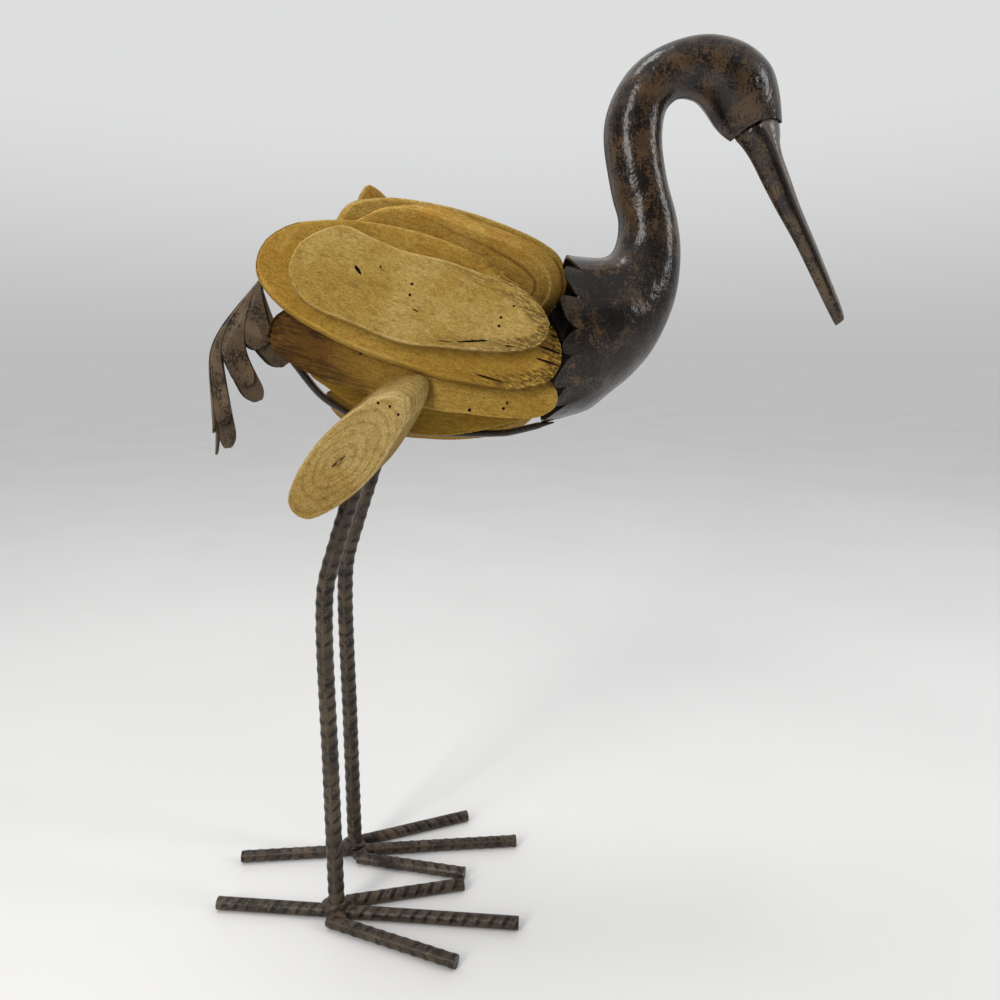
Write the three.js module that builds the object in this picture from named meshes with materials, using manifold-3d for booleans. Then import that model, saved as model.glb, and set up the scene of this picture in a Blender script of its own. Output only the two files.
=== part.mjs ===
// Heron figurine: pressed sheet-metal neck and tail, a body of wood slices cut aslant from branches,
// and legs and feet of ribbed steel bar. Millimetres, +Z up. The bird looks along +X, its right side
// faces -Y, and its feet stand on z = 0. The sizes below are measured from the floor under the ankles.

import * as THREE from 'three';
import { mergeVertices } from 'three/addons/utils/BufferGeometryUtils.js';
import Module from 'manifold-3d';

const wasm = await Module();
wasm.setup();

// Driving dimensions of the metalwork
const GAP = 0.3;
const SHEET = 1.2;
const LEG_RADIUS = 4.9;
const TOE_RADIUS = 3.9;
const BAR_SIDES = 12;
const ANKLE_Y = 28.6;
const KNEE_Z = 200;
const STRAP_WIDTH = 8;
const STRAP_THICKNESS = 3.4;
const STRAP_END_THICKNESS = 0.9;
const STRAP_TAPER = 0.18;
const STRAP_STEPS = 24;

// Breast, neck and head, as stations from the tips of the breast's teeth to the beak: the line of the back
// and the line of the throat in the bird's middle plane, each as x, z, and the half width between them
const SHELL_STATIONS = [
  { back: [121, 384], throat: [117.5, 292.9], half: 44.3 },
  { back: [132, 383], throat: [131, 293.7], half: 41.5 },
  { back: [143, 382], throat: [145, 298.7], half: 38.5 },
  { back: [150.5, 381.5], throat: [159.5, 310.3], half: 34.5 },
  { back: [156, 382.5], throat: [171, 320], half: 30.5 },
  { back: [159.5, 386], throat: [183, 335], half: 25 },
  { back: [161.5, 393], throat: [193, 359], half: 19.5 },
  { back: [161.5, 402], throat: [195.3, 383], half: 17 },
  { back: [158.5, 411], throat: [192.5, 402], half: 16 },
  { back: [155.5, 424], throat: [186.8, 420], half: 15.5 },
  { back: [153, 438], throat: [183.2, 438], half: 15 },
  { back: [153, 450], throat: [183, 449], half: 15 },
  { back: [157, 463], throat: [184.5, 456.5], half: 14.6 },
  { back: [165.5, 476], throat: [188.5, 461], half: 14.6 },
  { back: [178, 485.3], throat: [192.5, 462.5], half: 15 },
  { back: [193.5, 490.7], throat: [196.8, 462.2], half: 15.6 },
  { back: [207, 491.8], throat: [201.6, 460.4], half: 16.6 },
  { back: [219.8, 489.2], throat: [206.2, 455.6], half: 17.6 },
  { back: [230.4, 483.9], throat: [210.6, 449.3], half: 17.4 },
  { back: [238.9, 475.8], throat: [214.2, 445.1], half: 16.2 },
  { back: [243.7, 464], throat: [217.3, 442.6], half: 13.4 },
  { back: [245.9, 450.2], throat: [219.7, 441.1], half: 9.7 },
];
const SHELL_RINGS = 21;
const FOLDED_STATIONS = 3;
const EYE = { x: 227.3, z: 464.2, half: 16.2, radius: 2.7, segments: 10, rings: 6 };

// Teeth round the open breast, on one side from the top to the bottom: the direction of the sheet behind
// the point, the point's own direction, and its distance from the mouth in stations. Notches lie between
// tips. The left side reaches further back than the right.
const MOUTH = [
  [0, 0, 0.13], [20, 20, 0.43], [40, 39.7, 0.73], [51, 37.5, -0.12], [64, 64, 0.46], [73, 62, -0.33],
  [84.6, 84.6, 0.44], [94, 97, -0.2], [102, 101.3, 0.27], [112, 123, -0.5], [123.4, 123.4, 0.05],
  [132, 140.5, -0.42], [141, 140.4, 0.12], [160, 158, -0.52], [180, 180, -0.74],
];
const LEFT_EXTRA = 0.55;
const FURTHEST = -0.95;

// Beak, from the end inside the head to the blunt tip, laid out like the head. Its section is folded along
// a ridge on each side, which lies at the middle of the height at the root and higher further down.
const BEAK_STATIONS = [
  { back: [243.2, 454], throat: [223.4, 447.3], half: 7 },
  { back: [244.3, 449.6], throat: [221.8, 442.7], half: 7.5 },
  { back: [245.2, 444.2], throat: [226, 438.2], half: 7.7 },
  { back: [245.4, 439.6], throat: [230.2, 432.6], half: 7.5 },
  { back: [247.3, 433.4], throat: [234.2, 425.8], half: 6.9 },
  { back: [251.5, 424.2], throat: [238.6, 418.2], half: 6.4 },
  { back: [258.3, 408.8], throat: [246.6, 405.4], half: 5.7 },
  { back: [266.8, 392.3], throat: [257.3, 389.2], half: 4.9 },
  { back: [275.5, 375.1], throat: [267.3, 372], half: 4.2 },
  { back: [283.4, 359.3], throat: [276.2, 356.6], half: 3.5 },
  { back: [286.9, 352], throat: [282.3, 346.8], half: 2.6 },
];
const BEAK_RINGS = 13;
const BEAK_CORNERS = 12;
const RIDGE_ROOT = -0.05;
const RIDGE_DOWN = 0.27;
const RIDGE_RISE = 0.35;
const ROUND_POWER = 2;
const FOLD_POWER = 1.55;

// Tail: two sheets bent round the rear of the body, each a fan of seven fingers that spread from a root.
// The bend has a rounded back and straight sides, and the whole tail is turned a little to the right.
const TAIL_AXIS_X = -23;
const TAIL_TURN = 12;
const TAIL_ROOT_Z = 372;
const TAIL_SHIFT = 1.85;
const TAIL_BACK = [
  [372, 9], [366, 14.4], [358, 21], [350, 27.9], [343, 33.2], [335, 37.5], [329, 39.1], [320, 39.5],
  [290, 39.6], [272, 41],
];
const TAIL_HALF = [[372, 4.5], [366, 6.5], [358, 8.5], [350, 10], [340, 11.5], [270, 12]];
const FINGER_HALF = 5.7;
const TAIL_ROWS = [3, 11, 19, 28, 36, 43, 50, 57, 64, 70, 76, 82];
const TIP_ROWS = [[7.5, 1], [4, 0.9], [1.3, 0.66], [0, 0.3]];
const UPPER_SHEET = {
  fingers: [-41, -24.6, -8.7, 0, 8.7, 24.6, 41], reach: [50, 64, 80, 84, 80, 64, 50],
  edge: 48.5, inset: 0,
};
const UNDER_SHEET = {
  fingers: [-44.5, -25, -8.7, 0, 8.7, 25, 44.5], reach: [66, 73.5, 93, 96, 93, 73.5, 66],
  edge: 52, inset: 1.6,
};

// Strap under the belly, as x, z of its middle line from the tail to the breast, where it grows thin
const STRAP_LINE = [
  [-34, 352.5], [-28.5, 343], [-21.5, 333], [-15, 323.8], [-3.3, 308.8], [9.9, 299.4], [27, 290.7],
  [50, 287.6], [74, 286.6], [97.4, 286.7], [105.7, 287.9], [114.4, 289.9], [121, 291.2], [127.5, 292.2],
];

// Legs and toes of the bird's right side, as x, y, z or x, y of the bars' middle lines
const LEG_LINE = [
  [0.3, -ANKLE_Y, 2 * TOE_RADIUS + GAP], [0.3, -ANKLE_Y, 100], [0.3, -ANKLE_Y, KNEE_Z - 16],
  [2.2, -ANKLE_Y, KNEE_Z + 6], [9, -ANKLE_Y, KNEE_Z + 29], [19.5, -28.2, KNEE_Z + 60],
  [23.5, -24, KNEE_Z + 72], [26, -14.5, KNEE_Z + 80.6], [27, -1.2, KNEE_Z + 83.4],
];
const LEG_STEPS = 20;
const TOES = [
  { name: 'long_toe_bar', from: [-73.3, -21.6], to: [108.5, -38.4] },
  { name: 'outer_toe', from: [-3, -36.4], to: [73.8, -67.3] },
  { name: 'inner_toe', from: [4, -20.5], to: [74.8, -5.05] },
];

// Wood slices. Each lies in a plane through the point at, which leans and turns, with its outline given
// in that plane as x, z of points on a smooth closed line. The face towards -Y carries the outline, and
// the other face is shifted by slant, because the branch was cut aslant.
const SLICES = [
  {
    name: 'right_wing_top_slice', at: [60, -43.1, 350], lean: 10, turn: 4, thick: 7.8, slant: [-2, 0],
    outline: [
      [-9, 374], [-5, 384.5], [3.1, 390.6], [18.3, 394.6], [32, 389], [48.7, 381.9], [70.7, 376.5],
      [90.1, 369.7], [107.6, 363.2], [118, 353.8], [122.5, 345.1], [119, 335.8], [102.3, 331.5],
      [71.2, 333.5], [48.2, 336.2], [26.9, 344.4], [3, 354.5], [-7, 364.6],
    ],
  },
  {
    name: 'right_wing_middle_slice', at: [60, -34, 350], lean: 10, turn: 4, thick: 8.1, slant: [-3, -1],
    outline: [
      [-28.7, 375.8], [-24.3, 388.6], [-10.7, 397.1], [5.2, 399.2], [28.3, 398.2], [56.6, 392.2],
      [78.1, 384.4], [102, 370.2], [115.9, 356], [126.4, 341], [129.5, 328.5], [124.5, 318],
      [108.5, 313.5], [76.3, 317.5], [47.1, 325.8], [17, 337.3], [-6.6, 350.1], [-21.5, 362.5],
    ],
  },
  {
    name: 'right_wing_lower_slice', at: [60, -24.6, 350], lean: 10, turn: 4, thick: 9, slant: [-1, 3],
    outline: [
      [-25.4, 341.5], [-21.6, 350.3], [-9, 355.5], [15, 355], [50, 346.5], [90, 333.5], [116, 321.5],
      [126.9, 312.7], [127.4, 303.5], [118, 297.2], [99.9, 296.7], [82.2, 298.7], [59.8, 301.4],
      [24.6, 310.1], [8.9, 314.8], [-11, 323.9], [-22.6, 332.4],
    ],
  },
  {
    name: 'right_belly_slice', at: [60, -15.4, 304], lean: -15, turn: 4, thick: 12.9, slant: [0, 8],
    outline: [
      [-5, 319.5], [8, 322.5], [35, 322.2], [62, 319.4], [90, 314.8], [113, 309], [120.5, 303],
      [113.8, 295.7], [99.1, 291], [86.4, 287.7], [72.5, 285.3], [58, 284.6], [46.3, 286], [30, 293],
      [15.2, 303], [3, 312.5],
    ],
  },
  {
    name: 'right_thigh', at: [0, -54, 270], lean: 0, turn: 0, thick: 21, slant: [9.4, 10.3],
    outline: [
      [-9.7, 256], [-6.7, 267.4], [2.8, 282.7], [14, 294.2], [25.6, 303.3], [36.5, 308.8],
      [45.5, 310.6], [52, 307.5], [51, 298], [44.1, 285.5], [31.5, 267.6], [17.4, 255.8], [7.7, 249.9],
      [0.3, 247.5], [-6, 249.6],
    ],
  },
  {
    name: 'left_wing_inner_slice', at: [60, 4, 390], lean: -10, turn: 0, thick: 7.7, slant: [12, 1],
    outline: [
      [9, 392], [14, 399.5], [22.5, 403.8], [30.9, 407.6], [43.9, 409.2], [59.9, 406.6], [75.9, 400.5],
      [96, 393.4], [111.9, 385.6], [122, 376.5], [124.9, 369], [123, 360.5], [115, 352.5],
      [92.3, 348.4], [59.7, 353.5], [29.5, 364.5], [13, 378],
    ],
  },
  {
    name: 'left_wing_middle_slice', at: [60, 13, 390], lean: -10, turn: 0, thick: 7.7, slant: [-4, 0],
    outline: [
      [4.5, 392], [9.9, 404.6], [17.1, 412.3], [29.8, 415], [45, 414.7], [75.6, 409.3], [101.5, 401],
      [121.6, 392.1], [131.5, 384.8], [135, 376], [131, 360], [118, 341], [94.3, 327], [58.5, 325.3],
      [26.4, 338.9], [8, 363.5],
    ],
  },
  {
    name: 'left_wing_rear_slice', at: [60, 22, 390], lean: -10, turn: 0, thick: 8, slant: [-4, -3],
    outline: [
      [24.5, 424], [34.4, 417.8], [46.2, 398.9], [53.8, 376.9], [57, 350.1], [54.2, 330.6], [46, 322],
      [36, 326.7], [26.3, 343.6], [18.6, 369.5], [16.4, 392.6], [18.8, 414.5],
    ],
  },
  {
    name: 'left_wing_lower_slice', at: [60, 4.6, 390], lean: -10, turn: 0, thick: 7.7, slant: [-3, 1],
    outline: [
      [-18, 336], [-10.2, 342.1], [9.4, 343], [42.2, 338.8], [83.8, 329.8], [115.8, 319.3], [127, 311],
      [117.1, 300.7], [93.3, 297.9], [53.8, 302.3], [14.1, 311.8], [-10.7, 323.4],
    ],
  },
  {
    name: 'left_belly_slice', at: [60, 8.8, 304], lean: 15, turn: -2, thick: 9.4, slant: [0, -4],
    outline: [
      [-2, 310], [5.4, 312.1], [25.4, 313], [52.7, 312.3], [85.9, 310], [110.2, 306.9], [119, 304],
      [110.7, 294.1], [88.9, 288], [57.5, 287], [26.4, 291.1], [5.2, 299.3],
    ],
  },
  {
    name: 'left_thigh', at: [30, 29.6, 295], lean: -10, turn: 0, thick: 15, slant: [-9, -6],
    outline: [
      [13, 275], [10, 282.4], [12.8, 292.6], [20.8, 303.8], [30.6, 311.3], [41.6, 315.1], [49, 313.5],
      [50.1, 307.1], [45.3, 296.8], [35.4, 284.3], [26.3, 276.3], [18.8, 273.2],
    ],
  },
];
const OUTLINE_POINTS = 24;
const EDGE_ROUND = 2.6;
const EDGE_ROUND_SHARE = 1 / 3;
const EDGE_PROFILE = [[0, 1], [0.3, 0.3], [1, 0]];
const CROWN = 0.8;

const DARK_METAL = { color: 0x3d3028, roughness: 0.45, metalness: 0.7 };
const TAIL_METAL = { color: 0x4a4340, roughness: 0.5, metalness: 0.7 };
const BAR_METAL = { color: 0x40352f, roughness: 0.55, metalness: 0.6 };
const PALE_WOOD = { color: 0xcfa658, roughness: 0.8, metalness: 0 };

const radians = THREE.MathUtils.degToRad;
const figurine = new THREE.Group();

function addPiece(name, geometry, look) {
  const mesh = new THREE.Mesh(geometry, new THREE.MeshStandardMaterial(look));
  mesh.name = name;
  figurine.add(mesh);
  return mesh;
}

function geometryFrom(points, triangles) {
  const geometry = new THREE.BufferGeometry();
  geometry.setAttribute('position', new THREE.Float32BufferAttribute(points.flat(), 3));
  geometry.setIndex(triangles);
  geometry.computeVertexNormals();
  return geometry;
}

// Manifold solid of a closed geometry, and back again, for the joins
function toSolid(geometry) {
  const bare = geometry.clone();
  bare.deleteAttribute('normal');
  bare.deleteAttribute('uv');
  const merged = mergeVertices(bare);
  const mesh = new wasm.Mesh({
    numProp: 3,
    vertProperties: new Float32Array(merged.getAttribute('position').array),
    triVerts: new Uint32Array(merged.getIndex().array),
  });
  return new wasm.Manifold(mesh);
}

function fromSolid(solid) {
  const mesh = solid.getMesh();
  const geometry = new THREE.BufferGeometry();
  geometry.setAttribute('position', new THREE.BufferAttribute(mesh.vertProperties, 3));
  geometry.setIndex(new THREE.BufferAttribute(mesh.triVerts, 1));
  geometry.computeVertexNormals();
  return geometry;
}

// Smooth rails through a list of stations, read at any place from 0 to 1
function stationRails(stations) {
  const rail = (pick) => new THREE.CatmullRomCurve3(stations.map(pick), false, 'catmullrom', 0.5);
  const back = rail((s) => new THREE.Vector3(s.back[0], s.half, s.back[1]));
  const throat = rail((s) => new THREE.Vector3(s.throat[0], s.half, s.throat[1]));
  return (t) => {
    const top = back.getPoint(t);
    const low = throat.getPoint(t);
    const reach = Math.hypot(top.x - low.x, top.z - low.z) / 2;
    return {
      centre: [(top.x + low.x) / 2, (top.z + low.z) / 2],
      up: [(top.x - low.x) / (2 * reach), (top.z - low.z) / (2 * reach)],
      reach,
      half: top.y,
    };
  };
}

// A point of a station's section, in a direction from the back round towards the left. The power 2 makes
// the section an ellipse, and a lower power folds it along ridges that lie at the given share of the height.
function sectionPoint(section, degrees, power, ridge, inset) {
  const angle = radians(degrees);
  const across = Math.sign(Math.sin(angle)) * Math.abs(Math.sin(angle)) ** (2 / power);
  const height = Math.abs(Math.cos(angle)) ** (2 / power);
  const along = Math.cos(angle) > 0 ? ridge + (1 - ridge) * height : ridge - (1 + ridge) * height;
  const rise = along * (section.reach - inset);
  return [
    section.centre[0] + rise * section.up[0],
    across * (section.half - inset),
    section.centre[1] + rise * section.up[1],
  ];
}

// Joins equal rings of points into a skin. Rings run along, and the last joins the first if looped.
function skinRings(rings, looped) {
  const size = rings[0].length;
  const triangles = [];
  const last = looped ? rings.length : rings.length - 1;
  for (let r = 0; r < last; r += 1) {
    for (let i = 0; i < size; i += 1) {
      const a = r * size + i;
      const b = r * size + ((i + 1) % size);
      const c = ((r + 1) % rings.length) * size + i;
      const d = ((r + 1) % rings.length) * size + ((i + 1) % size);
      triangles.push(a, c, b, b, c, d);
    }
  }
  return triangles;
}

// Breast, neck and head: one tube of sheet, toothed at the breast, folded at the head's front end like the
// beak, and open where the beak goes in
function shellGeometry() {
  const section = stationRails(SHELL_STATIONS);
  const station = 1 / (SHELL_STATIONS.length - 1);
  const left = MOUTH.map(([body, tip, distance]) => {
    const further = Math.max(FURTHEST, distance - LEFT_EXTRA * Math.sin(radians(body)));
    return { body, tip, distance: further };
  });
  const right = MOUTH.slice(1, -1).reverse().map(([body, tip, distance]) => (
    { body: -body, tip: -tip, distance }
  ));
  const around = [...left, ...right];
  const place = (t, degrees, inset) => {
    const folded = Math.max(0, 1 - (1 - t) / (FOLDED_STATIONS * station));
    const power = THREE.MathUtils.lerp(ROUND_POWER, FOLD_POWER, folded);
    return sectionPoint(section(t), degrees, power, folded * RIDGE_ROOT, inset);
  };
  const layer = (inset) => {
    const made = [around.map((point) => place((1 + point.distance) * station, point.tip, inset))];
    for (let r = 0; r < SHELL_RINGS; r += 1) {
      const t = 2 * station + ((1 - 2 * station) * r) / (SHELL_RINGS - 1);
      made.push(around.map((point) => place(t, point.body, inset)));
    }
    return made;
  };
  const rings = [...layer(0), ...layer(SHEET).reverse()];
  return geometryFrom(rings.flat(), skinRings(rings, true));
}

// Eyes are small domes raised on both sides of the head
function eyeGeometry(side) {
  const dome = new THREE.SphereGeometry(EYE.radius, EYE.segments, EYE.rings);
  dome.translate(EYE.x, side * EYE.half, EYE.z);
  return dome;
}

// Beak: a folded cone of sheet with a ridge along each side, open inside the head
function beakGeometry() {
  const section = stationRails(BEAK_STATIONS);
  const ringAt = (t, inset) => {
    const ring = [];
    const ridge = THREE.MathUtils.lerp(RIDGE_ROOT, RIDGE_DOWN, Math.min(1, t / RIDGE_RISE));
    for (let k = 0; k < BEAK_CORNERS; k += 1) {
      ring.push(sectionPoint(section(t), (360 * k) / BEAK_CORNERS, FOLD_POWER, ridge, inset));
    }
    return ring;
  };
  const rings = [];
  for (let r = 0; r <= BEAK_RINGS; r += 1) rings.push(ringAt(r / BEAK_RINGS, 0));
  const tip = BEAK_RINGS * BEAK_CORNERS;
  for (let r = BEAK_RINGS - 1; r >= 0; r -= 1) rings.push(ringAt(r / BEAK_RINGS, SHEET));
  const inner = tip + BEAK_CORNERS;

  // The tip is closed outside and inside, instead of joined from the outer to the inner skin
  const skin = skinRings(rings, true);
  const perRing = (3 * 2) * BEAK_CORNERS;
  const triangles = [...skin.slice(0, BEAK_RINGS * perRing), ...skin.slice((BEAK_RINGS + 1) * perRing)];
  for (let i = 1; i < BEAK_CORNERS - 1; i += 1) {
    triangles.push(tip, tip + i + 1, tip + i);
    triangles.push(inner, inner + i, inner + i + 1);
  }
  return geometryFrom(rings.flat(), triangles);
}

// Gives an open skin a thickness: a second skin at the given inner points, and walls round its edges
function thicken(outer, inner, skin) {
  const count = outer.length;
  const triangles = [...skin];
  const edges = new Map();
  for (let k = 0; k < skin.length; k += 3) {
    const [a, b, c] = skin.slice(k, k + 3);
    triangles.push(a + count, c + count, b + count);
    for (const [from, to] of [[a, b], [b, c], [c, a]]) {
      const back = `${to}_${from}`;
      if (edges.has(back)) edges.delete(back);
      else edges.set(`${from}_${to}`, [from, to]);
    }
  }
  for (const [from, to] of edges.values()) {
    triangles.push(to, from, to + count, from, from + count, to + count);
  }
  return geometryFrom([...outer, ...inner], triangles);
}

// Value at a height, read between the rows of a table that runs downwards
function readAt(table, z) {
  for (let k = 1; k < table.length; k += 1) {
    const [upperZ, upper] = table[k - 1];
    const [lowerZ, lower] = table[k];
    if (z >= lowerZ) return upper + ((upperZ - z) / (upperZ - lowerZ)) * (lower - upper);
  }
  return table[table.length - 1][1];
}

// Place on the tail's outer surface: reach from the root, in a direction from straight down
function tailPoint(degrees, reach) {
  const z = TAIL_ROOT_Z - reach * Math.cos(radians(degrees));
  const around = reach * Math.sin(radians(degrees)) - TAIL_SHIFT;
  const half = readAt(TAIL_HALF, z);
  const bend = Math.min(Math.abs(around) / half, Math.PI / 2);
  const straight = Math.max(0, Math.abs(around) - (half * Math.PI) / 2);
  const x = half - readAt(TAIL_BACK, z) - half * Math.cos(bend) + straight;
  const point = new THREE.Vector3(x, Math.sign(around) * half * Math.sin(bend), z);
  point.applyAxisAngle(new THREE.Vector3(0, 0, 1), radians(TAIL_TURN));
  point.x += TAIL_AXIS_X;
  return point;
}

// The same place at a depth under the outer surface
function tailPlace(degrees, reach, depth) {
  const point = tailPoint(degrees, reach);
  const down = tailPoint(degrees, reach + 1).sub(tailPoint(degrees, reach - 1));
  const across = tailPoint(degrees + 1, reach).sub(tailPoint(degrees - 1, reach));
  const inward = down.cross(across).normalize();
  return point.addScaledVector(inward, depth).toArray();
}

// A tail sheet: the fingers are one sheet near the root and part where they grow narrower than the fan
function tailGeometry({ fingers, reach, edge, inset }) {
  const outer = [];
  const inner = [];
  const skin = [];
  const known = new Map();
  const vertex = (degrees, distance) => {
    const key = `${degrees.toFixed(2)}_${distance.toFixed(2)}`;
    if (!known.has(key)) {
      known.set(key, outer.length);
      outer.push(tailPlace(degrees, distance, inset));
      inner.push(tailPlace(degrees, distance, inset + SHEET));
    }
    return known.get(key);
  };
  fingers.forEach((middle, f) => {
    const low = f === 0 ? -edge : (middle + fingers[f - 1]) / 2;
    const high = f === fingers.length - 1 ? edge : (middle + fingers[f + 1]) / 2;
    const body = TAIL_ROWS.filter((row) => row < reach[f] - TIP_ROWS[0][0] - 1).map((row) => [row, 1]);
    const tip = TIP_ROWS.map(([back, share]) => [reach[f] - back, share]);
    const grid = [...body, ...tip].map(([distance, share]) => {
      const spread = THREE.MathUtils.radToDeg(Math.asin(Math.min(1, (share * FINGER_HALF) / distance)));
      const edges = [Math.max(low, middle - spread), middle, Math.min(high, middle + spread)];
      return edges.map((degrees) => vertex(degrees, distance));
    });
    for (let r = 0; r < grid.length - 1; r += 1) {
      for (let i = 0; i < 2; i += 1) {
        const [a, b] = [grid[r][i], grid[r][i + 1]];
        const [c, d] = [grid[r + 1][i], grid[r + 1][i + 1]];
        skin.push(a, b, c, b, d, c);
      }
    }
  });
  return thicken(outer, inner, skin);
}

// Strap: its side outline from offsets of the middle line, pulled out to its width
function strapGeometry() {
  const line = new THREE.CatmullRomCurve3(STRAP_LINE.map(([x, z]) => new THREE.Vector3(x, z, 0)));
  const length = line.getLength();
  const upper = [];
  const lower = [];
  for (let k = 0; k <= STRAP_STEPS; k += 1) {
    const share = k / STRAP_STEPS;
    const point = line.getPointAt(share);
    const along = line.getTangentAt(share);
    const tapered = STRAP_END_THICKNESS + STRAP_TAPER * (1 - share) * length;
    const half = Math.min(STRAP_THICKNESS, tapered) / 2;
    const offset = new THREE.Vector3(-along.y, along.x, 0).multiplyScalar(half);
    upper.push(new THREE.Vector2(point.x + offset.x, point.y + offset.y));
    lower.push(new THREE.Vector2(point.x - offset.x, point.y - offset.y));
  }
  const side = new THREE.Shape([...lower, ...upper.reverse()]);
  const geometry = new THREE.ExtrudeGeometry(side, { depth: STRAP_WIDTH, bevelEnabled: false });
  geometry.rotateX(Math.PI / 2);
  geometry.translate(0, STRAP_WIDTH / 2, 0);
  return geometry;
}

// Section of the bar, with one flat facing straight down
function barSection(radius) {
  const corner = radius / Math.cos(Math.PI / BAR_SIDES);
  const points = [];
  for (let k = 0; k < BAR_SIDES; k += 1) {
    const angle = (2 * Math.PI * (k + 0.5)) / BAR_SIDES;
    points.push(new THREE.Vector2(corner * Math.cos(angle), corner * Math.sin(angle)));
  }
  return new THREE.Shape(points);
}

function legGeometry(side) {
  const line = LEG_LINE.map(([x, y, z]) => new THREE.Vector3(x, side * y, z));
  const path = new THREE.CatmullRomCurve3(line, false, 'centripetal');
  return new THREE.ExtrudeGeometry(barSection(LEG_RADIUS), { steps: LEG_STEPS, extrudePath: path });
}

function toeMesh(name, toe, side) {
  const [x0, y0] = toe.from;
  const [x1, y1] = toe.to;
  const length = Math.hypot(x1 - x0, y1 - y0);
  const bar = new THREE.ExtrudeGeometry(barSection(TOE_RADIUS), { depth: length, bevelEnabled: false });
  bar.rotateY(Math.PI / 2);
  const mesh = addPiece(name, bar, BAR_METAL);
  mesh.position.set(x0, side * y0, TOE_RADIUS);
  mesh.rotation.z = Math.atan2(side * (y1 - y0), x1 - x0);
}

// Points on a slice's smooth closed outline, closer together where its corners are
function sliceOutline(slice) {
  const corners = slice.outline.map(([x, z]) => new THREE.Vector3(x, z, 0));
  const line = new THREE.CatmullRomCurve3(corners, true, 'centripetal');
  return line.getPoints(OUTLINE_POINTS).slice(0, -1).map((point) => [point.x, point.y]);
}

// A slice: the outline carried from face to face, with rounded edges and slightly domed faces
function sliceGeometry(slice) {
  const outline = sliceOutline(slice);
  const count = outline.length;
  const centre = [0, 0];
  outline.forEach(([x, z]) => {
    centre[0] += x / count;
    centre[1] += z / count;
  });
  const [originX, , originZ] = slice.at;
  const round = Math.min(EDGE_ROUND, slice.thick * EDGE_ROUND_SHARE);
  const layers = EDGE_PROFILE.map(([depth, inset]) => [depth * round, inset * round]);
  const depths = [...layers, ...layers.map(([depth, inset]) => [slice.thick - depth, inset]).reverse()];
  const rings = depths.map(([depth, inset]) => outline.map(([x, z]) => {
    const toCentre = Math.hypot(centre[0] - x, centre[1] - z);
    const pull = inset / toCentre;
    const shift = depth / slice.thick;
    return [
      x + pull * (centre[0] - x) + shift * slice.slant[0] - originX,
      z + pull * (centre[1] - z) + shift * slice.slant[1] - originZ,
      -depth,
    ];
  }));
  const points = rings.flat();
  const triangles = skinRings(rings, false);
  const front = points.push([centre[0] - originX, centre[1] - originZ, CROWN]) - 1;
  const back = points.push([
    centre[0] + slice.slant[0] - originX,
    centre[1] + slice.slant[1] - originZ,
    -slice.thick,
  ]) - 1;
  const lastRing = (rings.length - 1) * count;
  for (let i = 0; i < count; i += 1) {
    const j = (i + 1) % count;
    triangles.push(front, i, j);
    triangles.push(back, lastRing + j, lastRing + i);
  }
  return geometryFrom(points, flipped(triangles));
}

function flipped(triangles) {
  const turned = [];
  for (let k = 0; k < triangles.length; k += 3) {
    turned.push(triangles[k], triangles[k + 2], triangles[k + 1]);
  }
  return turned;
}

function sliceMesh(slice) {
  const mesh = addPiece(slice.name, sliceGeometry(slice), PALE_WOOD);
  mesh.position.set(...slice.at);
  mesh.rotation.set(Math.PI / 2 - radians(slice.lean), 0, -radians(slice.turn), 'ZXY');
}

const shell = toSolid(shellGeometry()).add(toSolid(eyeGeometry(-1))).add(toSolid(eyeGeometry(1)));
addPiece('breast_neck_and_head', fromSolid(shell), DARK_METAL);
addPiece('beak', beakGeometry(), DARK_METAL);
addPiece('tail_upper_sheet', tailGeometry(UPPER_SHEET), TAIL_METAL);
addPiece('tail_under_sheet', tailGeometry(UNDER_SHEET), DARK_METAL);
addPiece('belly_strap', strapGeometry(), BAR_METAL);
for (const [word, side] of [['right', 1], ['left', -1]]) {
  addPiece(`${word}_leg`, legGeometry(side), BAR_METAL);
  for (const toe of TOES) toeMesh(`${word}_${toe.name}`, toe, side);
}
for (const slice of SLICES) sliceMesh(slice);

// The origin is the middle of the footprint, on the floor
const box = new THREE.Box3().setFromObject(figurine, true);
const middle = box.getCenter(new THREE.Vector3());
figurine.position.set(-middle.x, -middle.y, -box.min.z);

export default figurine;
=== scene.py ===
# Heron figurine, in metres: neck, beak and tail of pressed dark sheet, a body of slices sawn aslant
# from pale branches, and legs and feet of ribbed steel bar. The bird looks along +X and stands on z = 0.
import math
from collections import namedtuple
from functools import reduce
from itertools import pairwise

import bmesh
import bpy
from mathutils import Matrix, Vector, noise
from mathutils.kdtree import KDTree


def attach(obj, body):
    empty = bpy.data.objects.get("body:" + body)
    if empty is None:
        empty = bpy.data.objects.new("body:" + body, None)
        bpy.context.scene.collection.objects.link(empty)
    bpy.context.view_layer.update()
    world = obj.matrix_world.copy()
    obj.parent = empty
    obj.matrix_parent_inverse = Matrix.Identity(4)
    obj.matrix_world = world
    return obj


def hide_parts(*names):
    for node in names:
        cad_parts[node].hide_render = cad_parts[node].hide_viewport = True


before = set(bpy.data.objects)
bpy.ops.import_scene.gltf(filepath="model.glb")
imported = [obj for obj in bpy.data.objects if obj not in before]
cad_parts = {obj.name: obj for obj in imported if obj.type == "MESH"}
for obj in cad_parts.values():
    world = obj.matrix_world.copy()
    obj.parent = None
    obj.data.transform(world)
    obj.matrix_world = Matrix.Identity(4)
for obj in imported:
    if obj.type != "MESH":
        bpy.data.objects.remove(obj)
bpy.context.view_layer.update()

MM = 0.001
ORIGIN_X = 106.621

# Shared sizes of the metalwork, in millimetres like all the sizes that follow
GAP = 0.3
SHEET = 1.2
LEG_RADIUS = 4.9
TOE_RADIUS = 3.9
ANKLE_Y = 28.6
KNEE_Z = 200


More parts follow.
